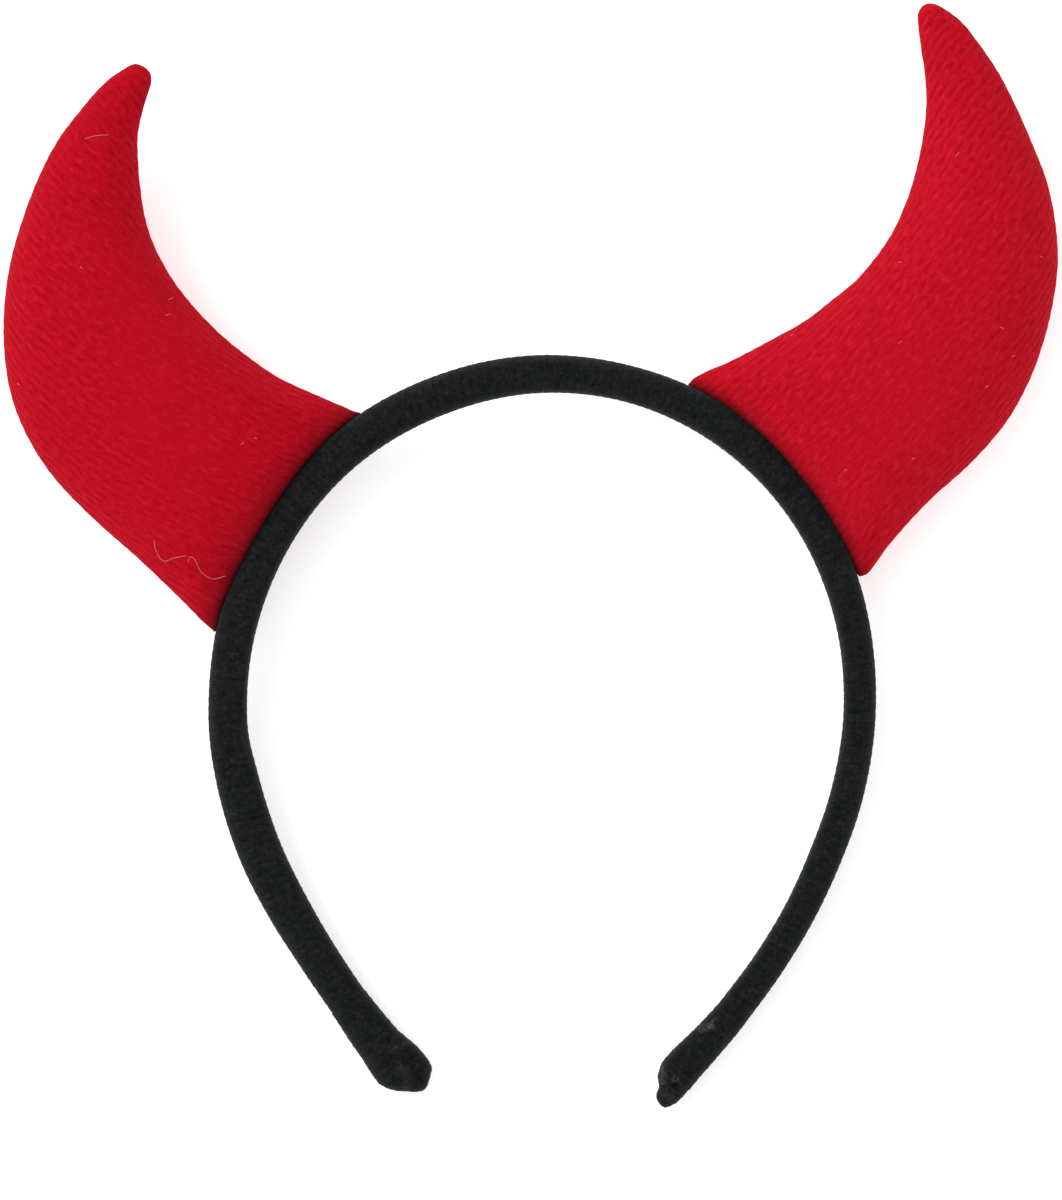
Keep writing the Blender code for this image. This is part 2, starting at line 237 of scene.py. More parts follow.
@dataclass(frozen=True)
class Photo:
    """The photograph's frame, and the place of the hoop's plane in it."""

    width_px: float = 1062.0
    height_px: float = 1200.0
    px_per_m: float = 5146.0
    hoop_middle_px: Pixel = (543.0, 695.0)

    def on_hoop(self, place: Pixel) -> Array:
        """Return the point of the hoop's plane that a pixel shows."""
        across = (place[0] - self.hoop_middle_px[0]) / self.px_per_m
        up = (self.hoop_middle_px[1] - place[1]) / self.px_per_m
        return np.array((across, up))


PHOTO = Photo()


@dataclass
class Lie:
    """How the hoop's plane lies on the floor, with the horns' backs and both arms' ends down."""

    tilt_deg: float = 3.739
    roll_deg: float = 0.233
    shift: Array = field(default_factory=lambda: np.zeros(3))

    def turn(self) -> Array:
        """Return the rotation from the hoop's plane to the frame."""
        roll = Matrix.Rotation(math.radians(self.roll_deg), 3, "Y")
        tilt = Matrix.Rotation(math.radians(self.tilt_deg), 3, "X")
        return np.array(tilt @ roll)

    def front(self) -> Array:
        """Return the direction out of the hoop's front, in the frame."""
        return self.turn()[:, 2]

    def up(self) -> Array:
        """Return the direction that the photograph shows as up, in the frame."""
        return self.turn()[:, 1]

    def down(self, points: Array) -> Array:
        """Return points of the hoop's plane as they lie in the frame."""
        return points @ self.turn().T - self.shift

    def flatten(self, points: Array) -> Array:
        """Return points of the frame as they are in the hoop's plane."""
        return (points + self.shift) @ self.turn()

    def settle(self, band: "HoopLine") -> None:
        """Shift the hoop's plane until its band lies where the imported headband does.

        Args:
            band: The line and sizes of the headband.
        """
        edges = self.down(band.edge_points())
        lowest, highest = (np.array(corner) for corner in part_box("headband"))
        middle = 0.5 * (lowest + highest) - 0.5 * (edges.min(axis=0) + edges.max(axis=0))
        rise = highest[2] - edges[:, 2].max()
        self.shift = -np.array((middle[0], middle[1], rise))


@dataclass(frozen=True)
class HoopLine:
    """The headband's line and the sizes of its section."""

    radius: float = 61.6 * MM
    thickness: float = 7.1 * MM
    depth: float = 10.0 * MM
    outer_rounding: float = 2.2
    inner_rounding: float = 3.2
    edge_spacing: float = 1.0 * MM
    samples: int = 6000
    end_refinement: float = 3.0
    end_crowding: float = 1.6

    def share(self, column: str, angle_deg: Array) -> Array:
        """Return a column of the hoop's table at some angles."""
        table = columns(HOOP_TABLE, HOOP_COLUMNS)
        return smooth_value(table["angle_deg"], table[column], np.asarray(angle_deg, float))

    def point(self, angle_deg: Array) -> Array:
        """Return points of the centre line at some angles."""
        angle = np.radians(angle_deg)
        radius = self.radius * self.share("radius", angle_deg)
        return np.stack((radius * np.cos(angle), radius * np.sin(angle)), axis=-1)

    def outward(self, angle_deg: Array) -> Array:
        """Return directions square to the centre line, away from the hoop's inside."""
        half_step_deg = 0.25
        angle_deg = np.clip(angle_deg, HOOP_TABLE[0][0] + half_step_deg, HOOP_TABLE[-1][0] - half_step_deg)
        along = self.point(angle_deg + half_step_deg) - self.point(angle_deg - half_step_deg)
        square = np.stack((along[..., 1], -along[..., 0]), axis=-1)
        return square / np.linalg.norm(square, axis=-1, keepdims=True)

    def half_thickness(self, angle_deg: Array) -> Array:
        """Return half of the band's thickness at some angles."""
        return 0.5 * self.thickness * self.share("thickness", angle_deg)

    def half_depth(self, angle_deg: Array) -> Array:
        """Return half of the band's depth at some angles."""
        return 0.5 * self.depth * self.share("depth", angle_deg)

    def edge_points(self) -> Array:
        """Return points along the band's outer, inner, front and back edges."""
        stations = self.stations(self.edge_spacing)
        centre, outward = self.point(stations["angle"]), self.outward(stations["angle"])
        flat = np.zeros(len(centre))
        middle = 0.5 * (stations["outer"] - stations["inner"])
        lines = (
            (stations["outer"], flat),
            (-stations["inner"], flat),
            (middle, stations["half_depth"]),
            (middle, -stations["half_depth"]),
        )
        return np.vstack([
            np.column_stack((centre + outward * offset[:, None], front)) for offset, front in lines
        ])

    def stations(self, spacing: float) -> dict[str, Array]:
        """Work out the band's sections from the right arm's end to the left's.

        Args:
            spacing: Distance between sections along the band. In the folded ends it is a third of it.

        Returns:
            Angle, distance travelled, outer and inner half widths and half depth of each section.
        """
        first, last = HOOP_TABLE[0][0], HOOP_TABLE[-1][0]
        angles = np.linspace(first, last, self.samples)
        steps = np.linalg.norm(np.diff(self.point(angles), axis=0), axis=1)
        travelled = np.concatenate(((0.0,), np.cumsum(steps)))
        length = travelled[-1]

        right_zone, left_zone = (rows[-1][0] * self.thickness for rows in (RIGHT_END_TABLE, LEFT_END_TABLE))
        middle_count = round((length - right_zone - left_zone) / spacing)
        # The sections of a folded end crowd towards its tip.
        right, left = (
            zone * np.linspace(0.0, 1.0, round(self.end_refinement * zone / spacing), endpoint=False)
            ** self.end_crowding for zone in (right_zone, left_zone))
        middle = np.linspace(right_zone, length - left_zone, middle_count + 1)
        place = np.concatenate((right, middle, length - left[::-1]))

        angle = np.interp(place, travelled, angles)
        half = self.half_thickness(angle)
        found = {"angle": angle, "travel": place, "outer": half, "inner": half.copy(),
                 "half_depth": self.half_depth(angle)}
        for rows, from_end in ((RIGHT_END_TABLE, place), (LEFT_END_TABLE, length - place)):
            table = columns(rows, END_COLUMNS)
            share = from_end / self.thickness
            inside = share <= table["from_end"][-1]
            tip = table["outer"][0]
            widths = (table["outer"] - tip, table["inner"] + tip, table["depth"])
            outer, inner, depth = (
                rounded_value(table["from_end"], width, share[inside]) for width in widths)
            found["outer"][inside] = (outer + tip) * self.thickness
            found["inner"][inside] = (inner - tip) * self.thickness
            found["half_depth"][inside] = 0.5 * depth * self.depth
        return found


class TreeSketch:
    """A node tree under construction, with short calls for the nodes that it needs."""

    def __init__(self, tree: bpy.types.NodeTree) -> None:
        """Start from an empty tree."""
        self.tree = tree
        tree.nodes.clear()

    def node(self, kind: str, inputs: dict[Any, Any] | None = None, **settings: Any) -> bpy.types.Node:
        """Add a node.

        Args:
            kind: Blender's name of the node type.
            inputs: Values or sockets by the input's name or number.
            **settings: Properties of the node.

        Returns:
            The new node.
        """
        made = self.tree.nodes.new(kind)
        for name, value in settings.items():
            setattr(made, name, value)
        for key, value in (inputs or {}).items():
            self.feed(made.inputs[key], value)
        return made

    def feed(self, socket: bpy.types.NodeSocket, value: Any) -> None:
        """Link a socket to an input, or set the input's value."""
        if isinstance(value, bpy.types.NodeSocket):
            self.tree.links.new(value, socket)
        else:
            socket.default_value = value

    def math(self, operation: str, *values: Any) -> bpy.types.NodeSocket:
        """Add a Math node and return its output."""
        inputs = dict(enumerate(values))
        return self.node("ShaderNodeMath", inputs, operation=operation).outputs[0]

    def times(self, first: Any, second: Any) -> bpy.types.NodeSocket:
        """Return a number times another."""
        return self.math("MULTIPLY", first, second)

    def minus(self, first: Any, second: Any) -> bpy.types.NodeSocket:
        """Return a number less another."""
        return self.math("SUBTRACT", first, second)

    def vector(self, operation: str, *values: Any) -> bpy.types.NodeSocket:
        """Add a Vector Math node and return its vector output."""
        inputs = dict(enumerate(values))
        return self.node("ShaderNodeVectorMath", inputs, operation=operation).outputs["Vector"]

    def scaled(self, vector: Any, scale: Any) -> bpy.types.NodeSocket:
        """Return a vector times a number."""
        inputs = {0: vector, "Scale": scale}
        return self.node("ShaderNodeVectorMath", inputs, operation="SCALE").outputs["Vector"]

    def between(self, share: Any, low: Any, high: Any) -> bpy.types.NodeSocket:
        """Return the value that lies a share of the way from low to high."""
        return self.math("MULTIPLY_ADD", share, self.minus(high, low), low)

    def noise(self, place: Any, scale: Any, detail: float = 1.0, rough: float = 0.5) -> bpy.types.NodeSocket:
        """Return a noise value from 0 to 1 at a place."""
        inputs = {"Vector": place, "Scale": scale, "Detail": detail, "Roughness": rough}
        return self.node("ShaderNodeTexNoise", inputs).outputs[0]

    def centred_noise(self, place: Any, size: float) -> bpy.types.NodeSocket:
        """Return a noise value about 0 at a place, with patches of a size."""
        return self.minus(self.noise(place, 1.0 / size), 0.5)

    def reading(self, name: str, output: str = "Fac") -> bpy.types.NodeSocket:
        """Return an attribute of the piece, in a material."""
        return self.node("ShaderNodeAttribute", attribute_name=name).outputs[output]


class GeometrySketch(TreeSketch):
    """A Geometry Nodes tree with named inputs that ends in Realize Instances and Set Material."""

    def __init__(self, name: str) -> None:
        """Start a tree with a geometry and a material going in and a geometry coming out."""
        super().__init__(bpy.data.node_groups.new(name, "GeometryNodeTree"))
        self.tree.is_modifier = True
        self.socket("Geometry", "NodeSocketGeometry")
        self.tree.interface.new_socket("Geometry", in_out="OUTPUT", socket_type="NodeSocketGeometry")
        self.entry = self.tree.nodes.new("NodeGroupInput")

    def socket(self, name: str, kind: str) -> None:
        """Add a named input of a kind to the tree."""
        self.tree.interface.new_socket(name, in_out="INPUT", socket_type=kind)

    def takes(self, *names: str) -> None:
        """Add named number inputs to the tree."""
        for name in names:
            self.socket(name, "NodeSocketFloat")

    def given(self, name: str) -> bpy.types.NodeSocket:
        """Return one of the tree's inputs by name."""
        return self.entry.outputs[name]

    def attribute(self, name: str, kind: str = "FLOAT") -> bpy.types.NodeSocket:
        """Return a named attribute of the geometry."""
        made = self.node("GeometryNodeInputNamedAttribute", {"Name": name}, data_type=kind)
        return made.outputs["Attribute"]

    def stored(self, geometry: Any, name: str, value: Any) -> bpy.types.NodeSocket:
        """Store a number on each point under a name and return the geometry."""
        inputs = {"Geometry": geometry, "Name": name, "Value": value}
        kind = {"data_type": "FLOAT", "domain": "POINT"}
        return self.node("GeometryNodeStoreNamedAttribute", inputs, **kind).outputs["Geometry"]

    def seeded_place(self, direction: tuple[float, float, float]) -> bpy.types.NodeSocket:
        """Return each point's place, moved by the tree's seed along a direction."""
        spot = self.node("GeometryNodeInputPosition").outputs[0]
        return self.vector("ADD", spot, self.scaled(direction, self.given("Seed")))

    def rib(self, phase: bpy.types.NodeSocket) -> bpy.types.NodeSocket:
        """Return a soft rib for each whole step of the phase."""
        wave = self.math("SINE", self.times(phase, math.pi))
        return self.times(wave, wave)

    def raised(self, geometry: Any, amount: Any) -> bpy.types.NodeSocket:
        """Move each point out along its normal and return the geometry."""
        normal = self.node("GeometryNodeInputNormal").outputs[0]
        inputs = {"Geometry": geometry, "Offset": self.scaled(normal, amount)}
        return self.node("GeometryNodeSetPosition", inputs).outputs["Geometry"]

    def finish(self, geometry: bpy.types.NodeSocket) -> bpy.types.NodeTree:
        """Realise the geometry, give it its material and close the tree.

        Args:
            geometry: What the tree has made.

        Returns:
            The finished tree.
        """
        self.socket("Material", "NodeSocketMaterial")
        real = self.node("GeometryNodeRealizeInstances", {"Geometry": geometry}).outputs["Geometry"]
        smooth = self.node("GeometryNodeSetShadeSmooth", {"Geometry": real}).outputs[0]
        inputs = {"Geometry": smooth, "Material": self.given("Material")}
        dressed = self.node("GeometryNodeSetMaterial", inputs)
        exit_node = self.tree.nodes.new("NodeGroupOutput")
        self.tree.links.new(dressed.outputs[0], exit_node.inputs["Geometry"])
        return self.tree


def run_tree(thing: bpy.types.Object, tree: bpy.types.NodeTree, values: dict[str, Any]) -> None:
    """Run a Geometry Nodes tree on an object and keep the result as its plain mesh.

    Args:
        thing: The object, whose mesh is replaced.
        tree: The tree.
        values: The tree's inputs by name, which are set by their sockets' identifiers.
    """
    modifier = thing.modifiers.new(tree.name, "NODES")
    modifier.node_group = tree
    for item in tree.interface.items_tree:
        if item.item_type == "SOCKET" and item.in_out == "INPUT" and item.name in values:
            modifier[item.identifier] = values[item.name]
    depsgraph = bpy.context.evaluated_depsgraph_get()
    made = bpy.data.meshes.new_from_object(
        thing.evaluated_get(depsgraph), preserve_all_data_layers=True, depsgraph=depsgraph)
    thing.modifiers.remove(modifier)
    thing.data = made
    made.name = thing.name


def put_in_scene(name: str, data: Any) -> bpy.types.Object:
    """Make an object at the origin from a mesh, lamp or camera and link it to the scene."""
    thing = bpy.data.objects.new(name, data)
    bpy.context.scene.collection.objects.link(thing)
    return thing


def mesh_object(name: str, points: Array, faces: list[tuple[int, ...]],
                edges: list[tuple[int, int]] | None = None) -> bpy.types.Object:
    """Make an object at the origin from points, faces and edges."""
    mesh = bpy.data.meshes.new(name)
    mesh.from_pydata(points.tolist(), edges or [], faces)
    return put_in_scene(name, mesh)


def give_attribute(thing: bpy.types.Object, name: str, values: Array) -> None:
    """Store a number or a vector for each point of a mesh, and 0 for points past the last value."""
    width = values.shape[1] if values.ndim == 2 else 1
    kept = np.zeros((len(thing.data.vertices), width), np.float32)
    kept[:len(values)] = values.reshape(-1, width)
    kind, key = ("FLOAT_VECTOR", "vector") if width > 1 else ("FLOAT", "value")
    thing.data.attributes.new(name, kind, "POINT").data.foreach_set(key, kept.ravel())


def read_attribute(thing: bpy.types.Object, name: str) -> Array:
    """Return a stored number of each point."""
    found = np.zeros(len(thing.data.vertices), np.float32)
    thing.data.attributes[name].data.foreach_get("value", found)
    return found.astype(float)


def mesh_points(thing: bpy.types.Object, what: str = "co") -> Array:
    """Return the places or the normals of an object's points."""
    vertices = thing.data.vertices
    found = np.zeros(3 * len(vertices), np.float32)
    vertices.foreach_get(what, found)
    return found.reshape(-1, 3).astype(float)


def move_points(thing: bpy.types.Object, points: Array) -> None:
    """Put an object's points in new places."""
    thing.data.vertices.foreach_set("co", points.astype(np.float32).ravel())
    thing.data.update()


def press_on_floor(thing: bpy.types.Object) -> None:
    """Flatten the fabric that would reach below the floor."""
    points = mesh_points(thing)
    points[:, 2] = np.maximum(points[:, 2], 0.0)
    move_points(thing, points)


def turn_outward(thing: bpy.types.Object) -> None:
    """Turn a closed mesh's faces outward if they point in."""
    points = mesh_points(thing)
    corners = np.array([polygon.vertices[:3] for polygon in thing.data.polygons])
    first, second, third = (points[corners[:, index]] for index in range(3))
    if np.einsum("ij,ij->i", first, np.cross(second, third)).sum() < 0.0:
        thing.data.flip_normals()


def report(thing: bpy.types.Object) -> None:
    """Log a finished piece and how many triangles its faces come to."""
    LOG.info("%s: %d triangles", thing.name, sum(len(face.vertices) - 2 for face in thing.data.polygons))


@dataclass(frozen=True)
class FabricFinish:
    """A matt knitted fabric with soft ribs, a grain of fine fibre and lighter tufts.

    The material reads the attributes that the piece carries: rib_height, which is 0 in a valley and
    1 on a rib, brushed, which is 1 where the nap hides the ribs, and panel, which is the place along
    and across the ribs in metres. A horn also has an attribute of painted shade in its joint with the
    band, 1 where it meets the band, and the band has pale, which is 1 on the crest of a crease and
    paints paler worn fuzz there together with a painted highlight.
    """

    name: str
    colour: tuple[float, float, float]
    tuft_colour: tuple[float, float, float]
    shadow_colour: tuple[float, float, float]
    valley_share: float
    tuft_share: float
    grain: float
    clouds: float
    sheen: float
    sheen_tint: tuple[float, float, float]
    sheen_roughness: float = 0.5
    roughness: float = 0.95
    specular: float = 0.05
    grain_bump: float = 0.32
    rib_bump: float = 0.3
    grain_size: float = 0.55 * MM
    tuft_length: float = 1.9 * MM
    tuft_width: float = 0.80 * MM
    cloud_size: float = 9.0 * MM
    tints: float = 0.0
    # Colour of the crests of creases: paler worn fuzz together with a painted highlight.
    pale_colour: tuple[float, float, float] = (0.070, 0.076, 0.074)
    # Painted shade where a horn meets the band: its share and its dark colour.
    joint_shade_share: float = 0.9
    joint_shade_colour: tuple[float, float, float] = (0.010, 0.004, 0.004)
    # Detail and roughness of each noise.
    tuft_noise: tuple[float, float] = (2.0, 0.55)
    grain_noise: tuple[float, float] = (3.0, 0.7)
    cloud_noise: tuple[float, float] = (2.0, 0.5)
    # Noise values at which each effect is nowhere and everywhere.
    bare_tufts: tuple[float, float] = (0.62, 0.34)
    pale_tufts: tuple[float, float] = (0.50, 0.74)
    wear_and_highlight_grain: tuple[float, float] = (0.35, 0.60)
    # Share of the ribs that brushed fabric shows, and the parts of the bumps.
    brushed_show: float = 0.25
    grain_height: float = 0.8
    tuft_height: float = 0.5
    grain_depth: float = 0.25 * MM
    rib_depth: float = 0.2 * MM

    def material(self) -> bpy.types.Material:
        """Build the material.

        Returns:
            A material of procedural nodes, for a piece with the attributes named above.
        """
        made = bpy.data.materials.new(self.name)
        made.use_nodes = True
        sketch = TreeSketch(made.node_tree)
        rib, brushed, joint_shade, wear_and_highlight = map(sketch.reading, ("rib_height", "brushed", "joint_shade", "pale"))
        panel = sketch.reading("panel", "Vector")
        place = sketch.node("ShaderNodeTexCoord").outputs["Object"]

        lengthwise = (1.0 / self.tuft_length, 1.0 / self.tuft_width, 1.0 / self.tuft_width)
        tufts = sketch.noise(sketch.vector("MULTIPLY", panel, lengthwise), 1.0, *self.tuft_noise)
        grain = sketch.noise(place, 1.0 / self.grain_size, *self.grain_noise)
        clouds = sketch.noise(place, 1.0 / self.cloud_size, *self.cloud_noise)

        # Painted shade darkens the valleys between the ribs. The valleys are broken by tufts that lie over
        # them, and brushed fabric shows few of them.
        shown = sketch.between(brushed, 1.0, self.brushed_show)
        bare = sketch.times(shown, self.ramp(sketch, tufts, self.bare_tufts))
        valley = sketch.times(sketch.minus(1.0, rib), bare)
        layers = (
            (sketch.times(self.ramp(sketch, tufts, self.pale_tufts), self.tuft_share), self.tuft_colour),
            (sketch.times(valley, self.valley_share), self.shadow_colour),
            # Crests of creases: paler worn fuzz and a painted highlight, broken up by the grain.
            (sketch.times(wear_and_highlight, self.ramp(sketch, grain, self.wear_and_highlight_grain)), self.pale_colour),
            # Painted shade in the joint where a horn meets the band.
            (sketch.times(joint_shade, self.joint_shade_share), self.joint_shade_colour),
        )
        hue = (*self.colour, 1.0)
        for share, colour in layers:
            hue = self.mixed(sketch, share, hue, (*colour, 1.0))

        shade = 1.0
        for value, strength in ((grain, self.grain), (clouds, self.clouds)):
            shade = sketch.math("MULTIPLY_ADD", sketch.minus(value, 0.5), 2.0 * strength, shade)
        inputs = {"Vector": place, "Scale": 1.0 / self.cloud_size, "Detail": 1.0}
        hues = sketch.node("ShaderNodeTexNoise", inputs).outputs["Color"]
        drift = sketch.scaled(sketch.vector("SUBTRACT", hues, (0.5, 0.5, 0.5)), 2.0 * self.tints)
        drift = sketch.vector("ADD", drift, (1.0, 1.0, 1.0))
        tone = sketch.vector("MULTIPLY", sketch.scaled(hue, shade), drift)

        height = sketch.math("MULTIPLY_ADD", grain, self.grain_height, sketch.times(tufts, self.tuft_height))
        fine = sketch.node("ShaderNodeBump", {
            "Strength": self.grain_bump, "Distance": self.grain_depth, "Height": height})
        coarse = sketch.node("ShaderNodeBump", {
            "Strength": self.rib_bump, "Distance": self.rib_depth,
            "Height": sketch.times(rib, shown), "Normal": fine.outputs[0]})

        shader = sketch.node("ShaderNodeBsdfPrincipled", {
            "Base Color": tone,
            "Roughness": self.roughness,
            "Specular IOR Level": self.specular,
            "Sheen Weight": self.sheen,
            "Sheen Roughness": self.sheen_roughness,
            "Sheen Tint": (*self.sheen_tint, 1.0),
            "Normal": coarse.outputs[0],
        })
        sketch.node("ShaderNodeOutputMaterial", {"Surface": shader.outputs[0]})
        made.diffuse_color = (*self.colour, 1.0)
        return made

    @staticmethod
    def ramp(sketch: TreeSketch, value: Any, bounds: tuple[float, float]) -> bpy.types.NodeSocket:
        """Return 0 where a value is at the first bound, 1 at the second and a smooth rise between."""
        inputs = {"Value": value, "From Min": bounds[0], "From Max": bounds[1]}
        return sketch.node("ShaderNodeMapRange", inputs, interpolation_type="SMOOTHSTEP").outputs[0]

    @staticmethod
    def mixed(sketch: TreeSketch, share: Any, base: Any, other: Any) -> bpy.types.NodeSocket:
        """Return a colour with a share of another."""
        mix = sketch.node("ShaderNodeMix", data_type="RGBA")
        colours = [socket for socket in mix.inputs if socket.type == "RGBA"]
        for socket, value in zip((mix.inputs[0], *colours), (share, base, other)):
            sketch.feed(socket, value)
        return next(socket for socket in mix.outputs if socket.type == "RGBA")


@dataclass(frozen=True)
class PlainFinish:
    """A plain matt finish whose colour may drift a little, for the floor and the lint."""

    name: str
    colour: tuple[float, float, float]
    roughness: float = 0.9
    specular: float = 0.05
    drift: float = 0.05
    drift_size: float = 2.0 * MM
    glow: float = 0.0

    def material(self) -> bpy.types.Material:
        """Build the material."""
        made = bpy.data.materials.new(self.name)
        made.use_nodes = True
        sketch = TreeSketch(made.node_tree)
        place = sketch.node("ShaderNodeTexCoord").outputs["Object"]
        cloud = sketch.noise(place, 1.0 / self.drift_size, 2.0)
        tone = sketch.scaled(self.colour, sketch.between(cloud, 1.0 - self.drift, 1.0 + self.drift))
        shader = sketch.node("ShaderNodeBsdfPrincipled", {
            "Base Color": tone, "Roughness": self.roughness, "Specular IOR Level": self.specular,
            "Emission Color": (1.0, 1.0, 1.0, 1.0), "Emission Strength": self.glow})
        sketch.node("ShaderNodeOutputMaterial", {"Surface": shader.outputs[0]})
        made.diffuse_color = (*self.colour, 1.0)
        return made


RED_FABRIC = FabricFinish(
    name="red_brushed_fabric",
    colour=(0.420, 0.0021, 0.0114),
    tuft_colour=(0.499, 0.0104, 0.0240),
    shadow_colour=(0.281, 0.0008, 0.0041),
    valley_share=0.75,
    tuft_share=0.45,
    grain=0.20,
    clouds=0.08,
    sheen=0.04,
    sheen_tint=(1.0, 0.12, 0.18),
)
# The right horn is a little paler, so it has its own paler copy of the red fabric.
PALER_RED_FABRIC = replace(
    RED_FABRIC,
    name="red_brushed_fabric_paler",
    colour=(0.450, 0.0033, 0.0140),
    tuft_colour=(0.536, 0.0142, 0.0295),
    shadow_colour=(0.301, 0.0012, 0.0049),
)
BLACK_FABRIC = FabricFinish(
    name="black_ribbed_fabric",
    colour=(0.0086, 0.0094, 0.0098),
    tuft_colour=(0.0160, 0.0178, 0.0182),
    shadow_colour=(0.0040, 0.0043, 0.0046),
    valley_share=0.95,
    tuft_share=0.6,
    grain=0.60,
    clouds=0.60,
    sheen=0.05,
    sheen_tint=(0.9, 1.0, 1.0),
    tuft_length=1.1 * MM,
    tuft_width=0.7 * MM,
    cloud_size=2.2 * MM,
    tints=0.26,
    rib_bump=0.6,
)

LINT_FINISH = PlainFinish("pale_lint", (0.60, 0.120, 0.150), drift=0.30)


@dataclass(frozen=True)
class Fold:
    """A crease in the front of a fabric cover, between two places of the photograph."""

    name: str
    kind: FoldKind
    start_px: Pixel
    end_px: Pixel
    half_width: float
    height: float
    # Share of pale colour on the crest: worn fuzz together with a painted highlight.
    paleness: float = 0.0
    step_reach: float = 4.0

    def rise(self, points: Array) -> tuple[Array, Array]:
        """Work out how the fold changes each point.

        Args:
            points: Points in the hoop's plane.

        Returns:
            The lift at each point, in metres, and the share of the crease's pale colour there.
        """
        start, end = PHOTO.on_hoop(self.start_px), PHOTO.on_hoop(self.end_px)
        length = float(np.linalg.norm(end - start))
        along = (end - start) / length
        square = np.array((-along[1], along[0]))
        place = points[:, :2] - start
        travel, aside = place @ along, place @ square
        beyond = np.maximum(np.maximum(-travel, travel - length), 0.0)
        fade = np.exp(-(beyond / self.half_width) ** 2)
        if self.kind is FoldKind.STEP:
            reach = self.step_reach * self.half_width
            step = smooth_step(0.5 + aside / self.half_width) * smooth_step(1.0 - aside / reach)
        else:
            step = np.exp(-(aside / self.half_width) ** 2)
        sign = -1.0 if self.kind is FoldKind.GROOVE else 1.0
        return sign * self.height * fade * step, self.paleness * fade * step


BAND_FOLDS = (
    Fold("left_end_turn", FoldKind.STEP, (393.0, 1051.0), (409.0, 1045.0), 0.5 * MM, 0.45 * MM, 0.12),
    Fold("left_end_pit", FoldKind.GROOVE, (404.0, 1058.0), (407.5, 1061.0), 0.7 * MM, 0.80 * MM),
    Fold("left_end_dimple", FoldKind.GROOVE, (414.5, 1072.5), (418.0, 1076.0), 0.8 * MM, 0.90 * MM),
    Fold("left_end_swell", FoldKind.RIDGE, (402.0, 1066.0), (408.0, 1076.0), 1.0 * MM, 0.35 * MM, 0.12),
    Fold("left_end_hem", FoldKind.RIDGE, (428.0, 1067.0), (424.0, 1087.0), 0.5 * MM, 0.35 * MM, 0.15),
    Fold("left_arm_tuck", FoldKind.GROOVE, (243.0, 727.0), (253.0, 757.0), 0.8 * MM, 0.30 * MM),
    Fold("right_end_pinch", FoldKind.GROOVE, (696.0, 1035.0), (716.0, 1033.0), 0.9 * MM, 0.60 * MM),
    Fold("right_end_gather", FoldKind.RIDGE, (700.5, 1028.5), (711.0, 1025.5), 0.5 * MM, 0.45 * MM, 0.65),
    Fold("right_end_tuft", FoldKind.RIDGE, (709.0, 1024.5), (715.0, 1018.5), 0.4 * MM, 0.30 * MM, 0.45),
    Fold("right_end_rim", FoldKind.RIDGE, (664.5, 1067.0), (663.8, 1083.0), 0.5 * MM, 0.45 * MM, 0.45),
    Fold("right_end_spot", FoldKind.RIDGE, (674.0, 1078.5), (676.0, 1078.0), 0.5 * MM, 0.25 * MM, 0.70),
    Fold("right_end_slit", FoldKind.GROOVE, (658.0, 1087.0), (677.0, 1085.0), 0.7 * MM, 1.00 * MM),
    Fold("right_end_hole", FoldKind.GROOVE, (674.5, 1084.5), (678.0, 1088.0), 0.9 * MM, 0.90 * MM),
    Fold("right_end_lobe", FoldKind.RIDGE, (664.0, 1094.0), (676.0, 1093.0), 1.2 * MM, 0.35 * MM, 0.10),
)


